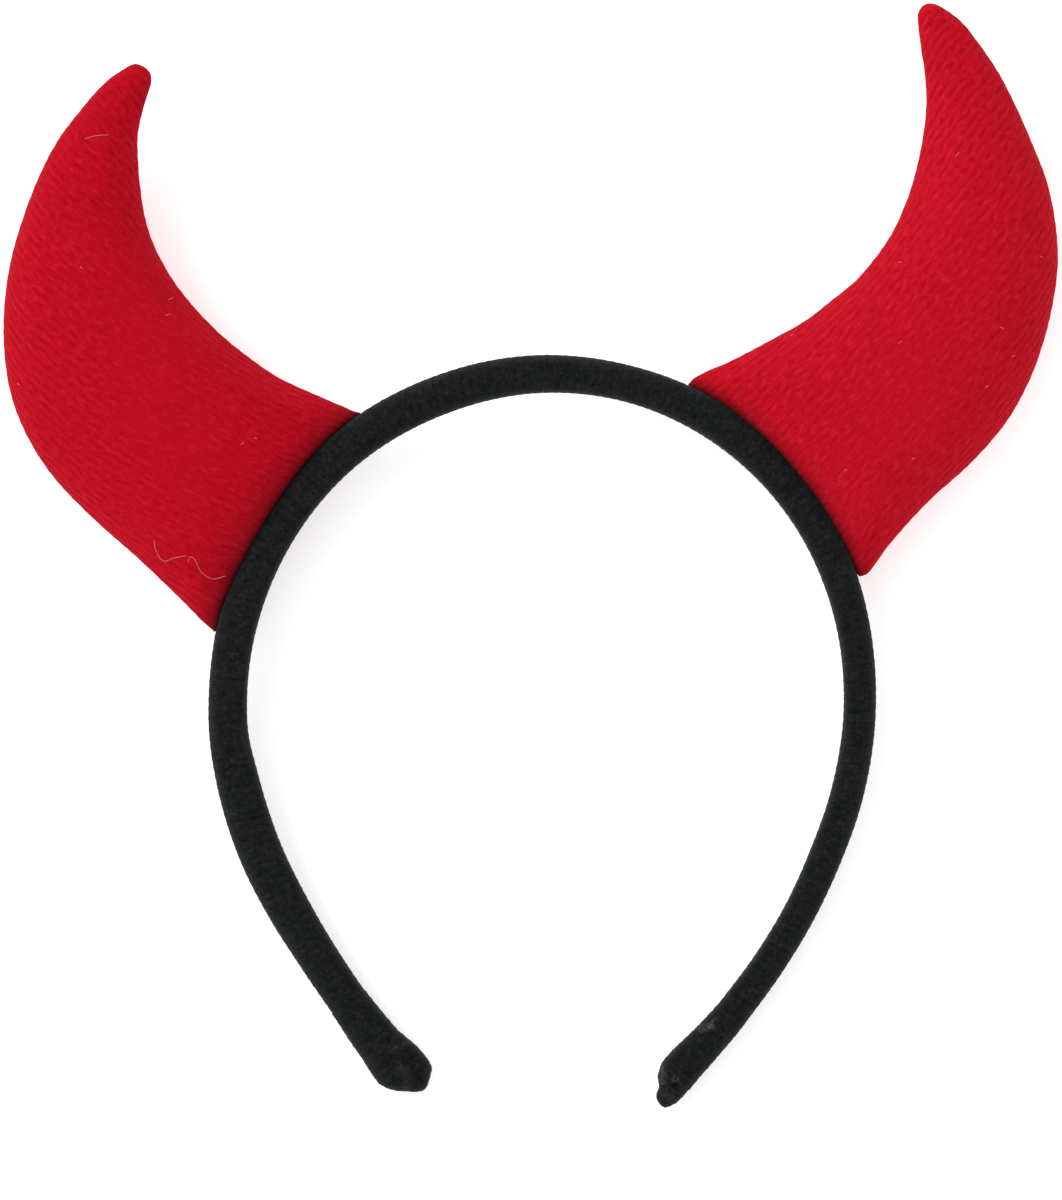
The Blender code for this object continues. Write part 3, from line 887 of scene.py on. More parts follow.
@dataclass
class Headband:
    """The hoop: a springy strip in a ribbed fabric cover that is turned in at both arms' ends."""

    line: HoopLine = field(default_factory=HoopLine)
    finish: FabricFinish = BLACK_FABRIC
    section_spacing: float = 0.30 * MM
    sides: int = 56
    rib_pitch: float = 1.75 * MM
    rib_relief: float = 0.07 * MM
    rib_waver: float = 0.8
    weave_relief: float = 0.04 * MM
    waver_size: float = 7.0 * MM
    jitter_size: float = 2.2 * MM
    jitter: float = 0.45
    courses_per_rib: float = 1.9
    uneven_size: float = 4.5 * MM
    uneven: tuple[float, float] = (1.1, 0.2)
    rib_share: float = 0.7
    merge_distance: float = 0.002 * MM
    ease: float = 0.09 * MM
    # Folds show on the front alone: the gain and start of their rise as the fabric turns to it.
    facing: tuple[float, float] = (1.5, 0.2)
    seed: int = 11
    seed_way: tuple[float, float, float] = (0.37, 0.61, 0.83)
    folds: tuple[Fold, ...] = BAND_FOLDS

    def guide(self, lie: Lie) -> bpy.types.Object:
        """Make the guide of the loft: one point for each section, with its sizes as attributes."""
        stations = self.line.stations(self.section_spacing)
        centre = self.line.point(stations["angle"])
        outward = self.line.outward(stations["angle"])
        level = np.zeros((len(centre), 1))
        width = stations["outer"] + stations["inner"]
        for side in ("outer", "inner"):
            stations[side] += self.ease * smooth_step(width / self.line.thickness)
        guide = mesh_object("headband_cover", lie.down(np.hstack((centre, level))), [])
        give_attribute(guide, "outward", np.hstack((outward, level)) @ lie.turn().T)
        for name in ("outer", "inner", "half_depth", "travel"):
            give_attribute(guide, name, stations[name])
        return guide

    def loft_tree(self) -> bpy.types.NodeTree:
        """Write the tree that lofts the cover through its sections and raises its ribs.

        Returns:
            A tree whose input geometry is the guide.
        """
        sketch = GeometrySketch("ribbed_cover")
        sketch.takes("Outer Rounding", "Inner Rounding", "Rib Pitch", "Rib Relief", "Rib Waver",
                     "Weave Relief", "Seed")
        sketch.socket("Sides", "NodeSocketInt")
        sketch.socket("Front", "NodeSocketVector")
        guide, sides = sketch.given("Geometry"), sketch.given("Sides")

        size = sketch.node("GeometryNodeAttributeDomainSize", {"Geometry": guide}, component="MESH")
        around = sketch.math("ADD", sides, 1.0)
        grid = sketch.node("GeometryNodeMeshGrid", {
            "Size X": 1.0, "Size Y": 1.0, "Vertices X": size.outputs["Point Count"], "Vertices Y": around})
        index = sketch.node("GeometryNodeInputIndex").outputs["Index"]
        ring = sketch.math("FLOOR", sketch.math("DIVIDE", sketch.math("ADD", index, 0.5), around))
        side = sketch.minus(index, sketch.times(ring, around))
        angle = sketch.math("DIVIDE", sketch.times(side, 2.0 * math.pi), sides)

        def read(value: bpy.types.NodeSocket, kind: str) -> bpy.types.NodeSocket:
            """Return a value of the guide at the ring that each point belongs to."""
            inputs = {"Geometry": guide, "Value": value, "Index": ring}
            return sketch.node("GeometryNodeSampleIndex", inputs, data_type=kind).outputs["Value"]

        centre = read(sketch.node("GeometryNodeInputPosition").outputs[0], "FLOAT_VECTOR")
        outward = read(sketch.attribute("outward", "FLOAT_VECTOR"), "FLOAT_VECTOR")
        outer, inner, half_depth, travel = (
            read(sketch.attribute(name), "FLOAT") for name in ("outer", "inner", "half_depth", "travel"))

        # The section is a rounded oblong, fuller outside than on the face that bears on the head.
        across, front = sketch.math("COSINE", angle), sketch.math("SINE", angle)
        outside = sketch.math("GREATER_THAN", across, 0.0)
        rounding = sketch.between(outside, sketch.given("Inner Rounding"), sketch.given("Outer Rounding"))
        powers = (sketch.math("POWER", sketch.math("ABSOLUTE", part), rounding) for part in (across, front))
        reach = sketch.math("POWER", sketch.math("ADD", *powers), sketch.math("DIVIDE", -1.0, rounding))
        half = sketch.times(sketch.math("ADD", outer, inner), 0.5)
        middle = sketch.times(sketch.minus(outer, inner), 0.5)
        offset = sketch.math("MULTIPLY_ADD", sketch.times(reach, across), half, middle)
        height = sketch.times(sketch.times(reach, front), half_depth)
        place = sketch.vector("ADD", centre, sketch.scaled(outward, offset))
        place = sketch.vector("ADD", place, sketch.scaled(sketch.given("Front"), height))

        tagged = sketch.stored(grid.outputs["Mesh"], "travel", travel)
        girth = sketch.times(angle, sketch.math("ADD", half, half_depth))
        tagged = sketch.stored(tagged, "girth", sketch.times(girth, 0.5))
        lofted = sketch.node("GeometryNodeSetPosition", {"Geometry": tagged, "Position": place})
        closed = sketch.node("GeometryNodeMergeByDistance", {
            "Geometry": lofted.outputs["Geometry"], "Distance": self.merge_distance}).outputs["Geometry"]

        # Ribs run across the band. Their pitch wanders, and finer courses lie over them.
        spot = sketch.seeded_place(self.seed_way)
        slow, quick = (sketch.centred_noise(spot, size) for size in (self.waver_size, self.jitter_size))
        waver = sketch.math("MULTIPLY_ADD", quick, self.jitter, slow)
        waver = sketch.times(waver, sketch.given("Rib Waver"))
        pitch = sketch.given("Rib Pitch")
        phase = sketch.math("ADD", sketch.math("DIVIDE", sketch.attribute("travel"), pitch), waver)
        rib = sketch.rib(phase)
        course = sketch.rib(sketch.math("MULTIPLY_ADD", phase, self.courses_per_rib, quick))
        uneven = sketch.math("MULTIPLY_ADD", sketch.noise(spot, 1.0 / self.uneven_size), *self.uneven)
        rise = sketch.times(sketch.times(sketch.minus(rib, 1.0), sketch.given("Rib Relief")), uneven)
        fine = sketch.times(sketch.minus(course, 1.0), sketch.given("Weave Relief"))
        ribbed = sketch.raised(closed, sketch.math("ADD", rise, fine))

        fine_share = sketch.times(course, 1.0 - self.rib_share)
        shown = sketch.math("MULTIPLY_ADD", rib, self.rib_share, fine_share)
        return sketch.finish(sketch.stored(ribbed, "rib_height", shown))

    def press_folds(self, cover: bpy.types.Object, lie: Lie) -> None:
        """Lift and sink the front of the cover along its folds."""
        points, normals = mesh_points(cover), mesh_points(cover, "normal")
        flat = lie.flatten(points)
        gain, start = self.facing
        facing = smooth_step(gain * (normals @ lie.front()) + start)
        lift, pale = (sum(parts) * facing for parts in zip(*(fold.rise(flat) for fold in self.folds)))
        move_points(cover, points + normals * lift[:, None])
        # The pale crests paint worn fuzz together with a highlight.
        give_attribute(cover, "pale", np.clip(pale, 0.0, 1.0))
        LOG.info("folds: %s", ", ".join(fold.name for fold in self.folds))

    def build(self, lie: Lie) -> bpy.types.Object:
        """Loft the cover, raise its ribs, press its folds and dress it.

        Args:
            lie: How the hoop's plane lies on the floor.

        Returns:
            The finished cover.
        """
        cover = self.guide(lie)
        run_tree(cover, self.loft_tree(), {
            "Outer Rounding": self.line.outer_rounding,
            "Inner Rounding": self.line.inner_rounding,
            "Rib Pitch": self.rib_pitch,
            "Rib Relief": self.rib_relief,
            "Rib Waver": self.rib_waver,
            "Weave Relief": self.weave_relief,
            "Seed": float(self.seed),
            "Sides": self.sides,
            "Front": tuple(lie.front()),
            "Material": self.finish.material(),
        })
        self.press_folds(cover, lie)
        press_on_floor(cover)
        travel, girth = (read_attribute(cover, name) for name in ("travel", "girth"))
        give_attribute(cover, "panel", np.column_stack((girth, travel, np.zeros(len(girth)))))
        give_attribute(cover, "brushed", np.zeros(len(girth)))
        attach(cover, BODY)
        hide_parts("headband")
        report(cover)
        return cover


@dataclass(frozen=True)
class BrushedPatch:
    """An oval of a horn where the nap lies over the ribs and hides them."""

    centre_px: Pixel
    half_length: float
    half_width: float
    turn_deg: float
    strength: float = 1.0

    def cover(self, points: Array) -> Array:
        """Return how far each point of the hoop's plane is covered, from 0 to 1."""
        place = points[..., :2] - PHOTO.on_hoop(self.centre_px)
        turn = math.radians(self.turn_deg)
        along = place @ np.array((math.cos(turn), math.sin(turn)))
        aside = place @ np.array((-math.sin(turn), math.cos(turn)))
        spread = (along / self.half_length) ** 2 + (aside / self.half_width) ** 2
        return self.strength * np.exp(-spread)


@dataclass(frozen=True)
class Stuffing:
    """The cloth simulation that swells a horn's fabric between its seams."""

    pressure: float = 400.0
    stiffness: float = 3.0
    bending: float = 0.05
    point_mass: float = 0.02
    quality: int = 5
    last_frame: int = 20
    ring_step: int = 10
    side_step: int = 4
    cap: float = 1.2 * MM
    slimness: float = 0.945
    shear_share: float = 1.0 / 3.0
    held_rings: int = 3

    def cage(self, net: Array) -> bpy.types.Object:
        """Make the closed coarse mesh that the simulation swells, held at its seams and ends.

        Args:
            net: Some of the horn's rings, with some of their points.

        Returns:
            The mesh, with the points that may not move in its group "held".
        """
        rings, sides = net.shape[:2]
        foot, pole = rings * sides, rings * sides + 1
        index = np.arange(rings * sides).reshape(rings, sides)
        after = np.roll(index, -1, axis=1)
        quads = np.stack((index[:-1], after[:-1], after[1:], index[1:]), axis=-1).reshape(-1, 4)
        ends = [(after[0, side], index[0, side], foot) for side in range(sides)]
        ends += [(index[-1, side], after[-1, side], pole) for side in range(sides)]
        points = np.vstack((net.reshape(-1, 3), net[0].mean(axis=0), net[-1].mean(axis=0)))
        thing = mesh_object("cage", points, quads.tolist() + ends)
        turn_outward(thing)
        seams = index[:, (0, sides // 2)].ravel()
        held = np.concatenate((index[0], index[-self.held_rings:].ravel(), seams, (foot, pole)))
        thing.vertex_groups.new(name="held").add(np.unique(held).tolist(), 1.0, "REPLACE")
        return thing

    def simulate(self, thing: bpy.types.Object) -> Array:
        """Run the simulation on a cage, and return where its points come to rest."""
        modifier = thing.modifiers.new("Cloth", "CLOTH")
        cloth = modifier.settings
        cloth.mass = self.point_mass
        cloth.quality = self.quality
        cloth.use_pressure = True
        cloth.uniform_pressure_force = self.pressure
        cloth.effector_weights.gravity = 0.0
        cloth.tension_stiffness = cloth.compression_stiffness = self.stiffness
        cloth.shear_stiffness = self.stiffness * self.shear_share
        cloth.bending_stiffness = self.bending
        cloth.vertex_group_mass = "held"
        modifier.point_cache.frame_start = 1
        modifier.point_cache.frame_end = self.last_frame
        for number in range(1, self.last_frame + 1):
            bpy.context.scene.frame_set(number)
        depsgraph = bpy.context.evaluated_depsgraph_get()
        found = mesh_points(thing.evaluated_get(depsgraph))
        thing.modifiers.remove(modifier)
        bpy.context.scene.frame_set(1)
        return found

    def swell(self, ring: Array) -> Array:
        """Swell the horn's fabric and return the rings of points where they come to rest.

        Args:
            ring: The rings of points of the fabric before it is stuffed.

        Returns:
            The rings of points of the stuffed fabric.
        """
        rings, sides = ring.shape[:2]
        at_rings = np.unique(np.linspace(0, rings - 1, rings // self.ring_step).round().astype(int))
        at_sides = np.arange(0, sides, self.side_step)
        net = ring[at_rings][:, at_sides]
        thing = self.cage(net)
        moved = self.simulate(thing)[:net.shape[0] * net.shape[1]].reshape(net.shape) - net
        bpy.data.meshes.remove(thing.data)
        size = np.linalg.norm(moved, axis=2, keepdims=True)
        moved *= np.minimum(1.0, self.cap / np.maximum(size, 0.001 * MM))
        LOG.info("stuffing: moved %.2f mm at most", 1000.0 * size.max())

        moved = smooth_value(at_rings.astype(float), moved, np.arange(rings, dtype=float))
        spare = 2
        wrapped = np.concatenate((moved[:, -spare:], moved, moved[:, :spare + 1]), axis=1)
        keys = self.side_step * np.arange(-spare, len(at_sides) + spare + 1, dtype=float)
        moved = smooth_value(keys, wrapped.swapaxes(0, 1), np.arange(sides, dtype=float))
        return ring + moved.swapaxes(0, 1)


@dataclass
class StuffedHorn:
    """A horn of two knitted panels, sewn along the outline, stuffed and fixed to the band."""

    name: str
    base_from_deg: float
    base_to_deg: float
    lean_deg: float
    reach: float
    fullness: float
    rows: Rows
    rib_deg: float
    rib_curl: float
    patches: tuple[BrushedPatch, ...]
    seed: int
    low_spill_deg: float
    crown_spill_deg: float
    # How far up the horn the painted shade of its joint with the band reaches.
    joint_shade_reach: float
    line: HoopLine = field(default_factory=HoopLine)
    finish: FabricFinish = RED_FABRIC
    stuffing: Stuffing = Stuffing()
    seat_clearance: float = 0.04 * MM
    seat_edge_inset: float = 1.3 * MM
    base_bend_fade: float = 0.45
    base_roll: float = 0.4 * MM
    spill_fade: float = 3.0 * MM
    seam_pinch: float = 1.15
    seam_depth: float = 0.06 * MM
    seam_width: float = 0.55 * MM
    pucker_pitch: float = 3.1 * MM
    pucker_depth: float = 0.05 * MM
    pucker_width: float = 1.6 * MM
    pucker_drift: float = 0.35
    puckers_per_drift: float = 5.3
    tip_without_seam: float = 9.0 * MM
    rib_pitch: float = 1.70 * MM
    rib_relief: float = 0.11 * MM
    lump_size: float = 16.0 * MM
    lump_height: float = 0.7 * MM
    lump_detail: float = 1.5
    waver: float = 0.8
    waver_size: float = 9.0 * MM
    jitter: float = 0.25
    jitter_size: float = 2.0 * MM
    uneven_size: float = 3.5 * MM
    uneven: tuple[float, float] = (1.4, 0.1)
    brushed_show: float = 0.3
    flat_by_seam: float = 2.2 * MM
    seed_way: tuple[float, float, float] = (0.53, 0.29, 0.71)
    # The back panel is another piece of cloth, so its tufts are not those of the front.
    back_shift: float = 0.1
    samples: int = 1500
    rings: int = 420
    sides: int = 232
    seat_strips: int = 8
    seat_strip_share: float = 0.97
    fill: float = 0.85

    def seat_point(self, angle_deg: Array, front: Array) -> Array:
        """Return points on the band's outer face at some angles and some depths from its middle."""
        half_thickness = self.line.half_thickness(angle_deg) + self.seat_clearance
        half_depth = self.line.half_depth(angle_deg) + self.seat_clearance
        fall = 1.0 - np.abs(front / half_depth) ** self.line.outer_rounding
        offset = half_thickness * fall ** (1.0 / self.line.outer_rounding)
        place = self.line.point(angle_deg) + self.line.outward(angle_deg) * offset[..., None]
        return np.concatenate((place, front[..., None]), axis=-1)

    def around(self) -> Array:
        """Return the angle of each point round a section, 0 at the crownward seam."""
        return np.linspace(0.0, 2.0 * math.pi, self.sides, endpoint=False)

    def swell(self) -> Array:
        """Return how far forward each point round a section stands, as a share."""
        return signed_power(np.sin(self.around()), self.seam_pinch)

    def seat(self, inset: Array, spill: Array) -> tuple[Array, Array]:
        """Work out where each side meets the band.

        Args:
            inset: How far the corners of each section are drawn in along the band.
            spill: Share of the spill of the base along the band that each section has.

        Returns:
            The angle about the hoop and the depth of each side of each section.
        """
        middle_deg = 0.5 * (self.base_from_deg + self.base_to_deg)
        half_base_deg = 0.5 * (self.base_to_deg - self.base_from_deg)
        toward = math.copysign(1.0, half_base_deg)
        crosswise = np.cos(self.around())[None, :]
        spill_deg = np.where(crosswise > 0.0, self.crown_spill_deg, self.low_spill_deg) * spill[:, None]
        inset_deg = np.degrees(inset[:, None] / self.line.radius)
        degs = middle_deg + crosswise * (half_base_deg + toward * (spill_deg - inset_deg))
        fronts = self.swell() * (0.5 * self.line.depth - self.seat_edge_inset)
        return degs, np.broadcast_to(fronts, degs.shape)

    def steps(self) -> Array:
        """Return the places of the rings along the table's rows, evenly spaced on the outer edge."""
        dense = np.linspace(0.0, len(self.rows), self.samples)
        edges = self.sections(dense)["ring"][:, [0, self.sides // 2], :2]
        moved = np.linalg.norm(np.diff(edges, axis=0), axis=2).max(axis=1)
        travelled = np.concatenate(((0.0,), np.cumsum(moved)))
        return np.interp(np.linspace(0.0, travelled[-1], self.rings + 1)[:-1], travelled, dense)

    def sections(self, steps: Array) -> dict[str, Array]:
        """Work out the horn's sections in the hoop's plane.

        Args:
            steps: Places along the rows of the horn's table, 0 at the seat.

        Returns:
            The ring of points and the crosswise direction of each section.
        """
        ends_deg = np.array((self.base_to_deg, self.base_from_deg))
        crown_corner, low_corner = self.seat_point(ends_deg, np.zeros(2))
        middle = 0.5 * (crown_corner + low_corner)
        chord = float(np.linalg.norm(crown_corner - low_corner))
        crownward = (crown_corner - low_corner) / chord
        outward = np.array((*(middle[:2] / np.linalg.norm(middle[:2])), 0.0))
        outward -= crownward * float(outward @ crownward)
        outward /= np.linalg.norm(outward)
        crosswise = np.cos(self.around())

        half_seat = 0.5 * self.line.depth - self.seat_edge_inset
        slim = self.fullness * self.stuffing.slimness
        table = columns(((0.0, 0.0, 1.0, 0.0, 2.0 * half_seat / slim), *self.rows), HORN_COLUMNS)
        keys = np.arange(len(self.rows) + 1, dtype=float)
        rise, lean, turn_deg = (
            smooth_value(keys, table[name], steps) for name in ("rise", "lean", "turn_deg"))
        width, full = (rounded_value(keys, table[name], steps) for name in ("width", "fullness"))

        def leaned(share: Array) -> tuple[Array, Array]:
            """Return the directions of rise and lean with a share of the horn's lean."""
            angle = math.radians(self.lean_deg) * share
            rise_axis = np.cos(angle) * outward + np.sin(angle) * crownward
            return rise_axis, np.cos(angle) * crownward - np.sin(angle) * outward

        full_rise, full_lean = leaned(np.ones(1))
        centre = middle + self.reach * (np.outer(rise, full_rise) + np.outer(lean, full_lean))
        rise_axis, lean_axis = leaned(smooth_step(steps)[:, None])
        turn = np.radians(turn_deg)[:, None]
        across = np.cos(turn) * lean_axis + np.sin(turn) * rise_axis

        # The fabric's corners are rolled under where they meet the band.
        left = np.clip(1.0 - rise * self.reach / self.base_roll, 0.0, 1.0)
        spill = np.maximum(0.0, 1.0 - rise * self.reach / self.spill_fade) ** 2
        seat = self.seat_point(*self.seat(self.base_roll * (1.0 - np.sqrt(1.0 - left ** 2)), spill))
        bend = seat - (middle + np.outer(crosswise, crownward) * 0.5 * chord)
        fade = np.maximum(0.0, 1.0 - rise / self.base_bend_fade) ** 2

        half_width, half_full = 0.5 * chord * width, 0.5 * slim * full
        reached = half_width[:, None, None] * crosswise[None, :, None] * across[:, None, :]
        ring = centre[:, None, :] + reached
        ring += fade[:, None, None] * bend * np.array((1.0, 1.0, 0.0))
        ring[:, :, 2] = half_full[:, None] * self.swell()[None, :]
        return {"ring": ring, "across": across}

    def panel(self, skin: dict[str, Array]) -> Array:
        """Work out where each point lies on the flat panel of fabric it belongs to.

        Args:
            skin: The horn's sections.

        Returns:
            The flat place of each point of each ring, in the hoop's plane.
        """
        ring = skin["ring"]
        steps = np.linalg.norm(np.roll(ring, -1, axis=1) - ring, axis=2)
        half, quarter = self.sides // 2, self.sides // 4
        flat = np.zeros(ring.shape[:2] + (2,))
        for start in (0, half):
            travelled = np.cumsum(np.roll(steps, -start, axis=1)[:, :half], axis=1)
            travelled = np.concatenate((np.zeros((len(ring), 1)), travelled), axis=1)
            from_crest = travelled[:, quarter][:, None] - travelled
            sides = (start + np.arange(half + 1)) % self.sides
            sign = 1.0 if start == 0 else -1.0
            crest = ring[:, (start + quarter) % self.sides, :2]
            flat[:, sides] = crest[:, None, :] + (
                sign * from_crest[:, :, None] * skin["across"][:, None, :2])
        return flat

    def from_seam(self, ring: Array) -> Array:
        """Return each point's distance over the fabric from the nearer seam."""
        steps = np.linalg.norm(np.roll(ring, -1, axis=1) - ring, axis=2)
        travelled = np.concatenate((np.zeros((len(ring), 1)), np.cumsum(steps, axis=1)), axis=1)
        half = self.sides // 2
        seams = travelled[:, (0, half, self.sides)]
        return np.abs(travelled[:, :-1, None] - seams[:, None, :]).min(axis=2)

    def seam_lift(self, ring: Array) -> Array:
        """Work out the valley and the puckers of the seam.

        Args:
            ring: The rings of points.

        Returns:
            How far each point is lifted, below 0 in the valley.
        """
        aside = self.from_seam(ring)
        seam = ring[:, [0, self.sides // 2], :]
        moved = np.linalg.norm(np.diff(seam, axis=0), axis=2)
        travelled = np.concatenate((np.zeros((1, 2)), np.cumsum(moved, axis=0)))
        nearer = (np.cos(self.around()) < 0.0).astype(int)
        travel = travelled[:, nearer]
        drift_pitch = self.puckers_per_drift * self.pucker_pitch
        drift = self.pucker_drift * np.sin(2.0 * math.pi * travel / drift_pitch + self.seed)
        wave = np.cos(2.0 * math.pi * (travel / self.pucker_pitch + drift))
        valley = self.seam_depth * np.exp(-(aside / self.seam_width) ** 2)
        pucker = 0.5 * self.pucker_depth * (1.0 - wave) * np.exp(-(aside / self.pucker_width) ** 2)
        size = np.linalg.norm(ring[:, 0] - ring[:, self.sides // 2], axis=1)[:, None]
        return -(valley + pucker) * smooth_step(size / self.tip_without_seam)

    def faces(self) -> list[tuple[int, ...]]:
        """Return the faces between the rings and those that close the tip."""
        ring = np.arange(self.sides)
        after = (ring + 1) % self.sides
        starts = self.sides * np.arange(self.rings - 1)[:, None]
        beyond = starts + self.sides
        quads = np.stack((starts + ring, starts + after, beyond + after, beyond + ring), axis=-1)
        pole = self.rings * self.sides
        last = pole - self.sides
        tip = [(last + side, last + (side + 1) % self.sides, pole) for side in range(self.sides)]
        return quads.reshape(-1, 4).tolist() + tip

    def seat_faces(self, points: list[Array]) -> list[tuple[int, ...]]:
        """Close the base with strips over the band's outer face.

        Args:
            points: The points made so far, to which those of the strips are added.

        Returns:
            The faces of the strips.
        """
        degs, fronts = (values[0] for values in self.seat(np.array((self.base_roll,)), np.ones(1)))
        half = self.sides // 2
        shares = 1.0 - 2.0 * np.arange(1, self.seat_strips) / self.seat_strips
        lines = [[0] * (self.seat_strips + 1)]
        for side in range(1, half):
            inset = fronts[side] * self.seat_strip_share
            row = self.seat_point(np.full(len(shares), degs[side]), shares * inset)
            first = sum(len(part) for part in points)
            points.append(row)
            lines.append([side, *range(first, first + len(row)), self.sides - side])
        lines.append([half] * (self.seat_strips + 1))
        faces = []
        for near, far in zip(lines, lines[1:]):
            for strip in range(self.seat_strips):
                corners = (near[strip], near[strip + 1], far[strip + 1], far[strip])
                faces.append(tuple(dict.fromkeys(corners)))
        return faces

    def knit_tree(self) -> bpy.types.NodeTree:
        """Write the tree that raises the ribs of the knit and the lumps of the stuffing."""
        sketch = GeometrySketch("ribbed_knit_" + self.name)
        sketch.takes("Rib Pitch", "Rib Relief", "Lump Size", "Lump Height", "Seed")
        panel = sketch.attribute("panel", "FLOAT_VECTOR")
        inside, brushed = map(sketch.attribute, ("inside", "brushed"))
        spot = sketch.seeded_place(self.seed_way)

        run = sketch.node("ShaderNodeSeparateXYZ", {0: panel}).outputs["Y"]
        slow, quick = (sketch.centred_noise(spot, size) for size in (self.waver_size, self.jitter_size))
        waver = sketch.math("MULTIPLY_ADD", quick, self.jitter, sketch.times(slow, self.waver))
        rib = sketch.rib(sketch.math("ADD", sketch.math("DIVIDE", run, sketch.given("Rib Pitch")), waver))

        shown = sketch.times(sketch.between(brushed, 1.0, self.brushed_show), inside)
        uneven = sketch.math("MULTIPLY_ADD", sketch.noise(spot, 1.0 / self.uneven_size), *self.uneven)
        rise = sketch.times(sketch.minus(rib, 1.0), sketch.given("Rib Relief"))
        rise = sketch.times(rise, sketch.times(shown, uneven))
        size = sketch.math("DIVIDE", 1.0, sketch.given("Lump Size"))
        lump = sketch.minus(sketch.noise(spot, size, self.lump_detail), 0.5)
        lump = sketch.times(sketch.times(lump, sketch.given("Lump Height")), inside)
        ribbed = sketch.raised(sketch.raised(sketch.given("Geometry"), lump), rise)
        return sketch.finish(sketch.stored(ribbed, "rib_height", rib))

    def build(self, lie: Lie) -> bpy.types.Object:
        """Loft the horn, sew its seam, raise its ribs and dress it.

        Args:
            lie: How the hoop's plane lies on the floor.

        Returns:
            The finished horn.
        """
        skin = self.sections(self.steps())
        ring = skin["ring"] = self.stuffing.swell(skin["ring"])
        flat = self.panel(skin)
        lift = self.seam_lift(ring)
        seam_share = smooth_step(self.from_seam(ring) / self.flat_by_seam)

        points = [ring.reshape(-1, 3), ring[-1].mean(axis=0)[None, :]]
        faces = self.faces() + self.seat_faces(points)
        everything = np.vstack(points)
        horn = mesh_object(self.name + "_fabric", lie.down(everything), faces)
        turn_outward(horn)
        lifted = np.zeros((len(everything), 1))
        lifted[:lift.size, 0] = lift.ravel()
        move_points(horn, mesh_points(horn) + mesh_points(horn, "normal") * lifted)

        rib = math.radians(self.rib_deg)
        along = flat @ np.array((math.cos(rib), math.sin(rib)))
        run = flat @ np.array((-math.sin(rib), math.cos(rib)))
        origin = 0.5 * (along.max() + along.min())
        back = (np.sin(self.around()) < 0.0)[None, :]
        run = run + 0.5 * self.rib_curl * (along - origin) ** 2 + np.where(back, 0.5 * self.rib_pitch, 0.0)
        panel = np.stack((along, run, np.broadcast_to(back, run.shape) * self.back_shift), axis=-1)
        covered = np.clip(sum(patch.cover(ring) for patch in self.patches), 0.0, 1.0)
        moved = np.linalg.norm(np.diff(ring, axis=0, prepend=ring[:1]), axis=2)
        # Painted shade that darkens the fabric next to the band and fades with distance up the horn.
        joint_shade = np.exp(-np.cumsum(moved, axis=0) / self.joint_shade_reach)
        give_attribute(horn, "panel", panel.reshape(-1, 3))
        for name, values in (("inside", seam_share), ("brushed", covered), ("joint_shade", joint_shade)):
            give_attribute(horn, name, values.ravel())

        run_tree(horn, self.knit_tree(), {
            "Rib Pitch": self.rib_pitch,
            "Rib Relief": self.rib_relief,
            "Lump Size": self.lump_size,
            "Lump Height": self.lump_height,
            "Seed": float(self.seed),
            "Material": self.finish.material(),
        })
        press_on_floor(horn)
        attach(horn, BODY)
        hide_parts(self.name)
        report(horn)
        return horn


@dataclass(frozen=True)
class Lint:
    """Pale threads and specks that lie on a horn, each by places of the photograph."""

    name: str
    threads_px: tuple[tuple[Pixel, ...], ...]
    finish: PlainFinish = LINT_FINISH
    thickness: float = 0.16 * MM
    spacing: float = 0.2 * MM
    sides: int = 6
    stand_off: float = 0.4

    def thread_tree(self) -> bpy.types.NodeTree:
        """Write the tree that sweeps a round section along each thread."""
        sketch = GeometrySketch("threads_" + self.name)
        sketch.takes("Thickness")
        sketch.socket("Sides", "NodeSocketInt")
        curve = sketch.node("GeometryNodeMeshToCurve", {"Mesh": sketch.given("Geometry")}).outputs["Curve"]
        section = sketch.node("GeometryNodeCurvePrimitiveCircle", {
            "Resolution": sketch.given("Sides"),
            "Radius": sketch.math("MULTIPLY", sketch.given("Thickness"), 0.5)}).outputs["Curve"]
        swept = sketch.node("GeometryNodeCurveToMesh", {
            "Curve": curve, "Profile Curve": section, "Fill Caps": True}).outputs["Mesh"]
        return sketch.finish(swept)

    def run(self, places: tuple[Pixel, ...]) -> Array:
        """Return evenly spaced points of the hoop's plane along a thread."""
        corners = np.array([PHOTO.on_hoop(place) for place in places])
        keys = np.arange(len(corners), dtype=float)
        length = float(np.linalg.norm(np.diff(corners, axis=0), axis=1).sum())
        count = max(3, round(length / self.spacing) + 1)
        return smooth_value(keys, corners, np.linspace(0.0, keys[-1], count))

    def build(self, lie: Lie, horn: bpy.types.Object) -> bpy.types.Object:
        """Lay the threads on a horn.

        Args:
            lie: How the hoop's plane lies on the floor.
            horn: The horn that carries them.

        Returns:
            The threads as one piece.
        """
        skin = BVHTree.FromObject(horn, bpy.context.evaluated_depsgraph_get())
        front = lie.front()
        points, edges = [], []
        for places in self.threads_px:
            line = self.run(places)
            start = len(points)
            for place in lie.down(np.hstack((line, np.zeros((len(line), 1))))):
                hit, normal, _, _ = skin.ray_cast(Vector(place + front), Vector(-front))
                points.append(np.array(hit + normal * self.stand_off * self.thickness))
            edges += [(start + step, start + step + 1) for step in range(len(line) - 1)]
        lint = mesh_object(self.name, np.array(points), [], edges)
        run_tree(lint, self.thread_tree(), {
            "Thickness": self.thickness, "Sides": self.sides, "Material": self.finish.material()})
        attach(lint, BODY)
        report(lint)
        return lint


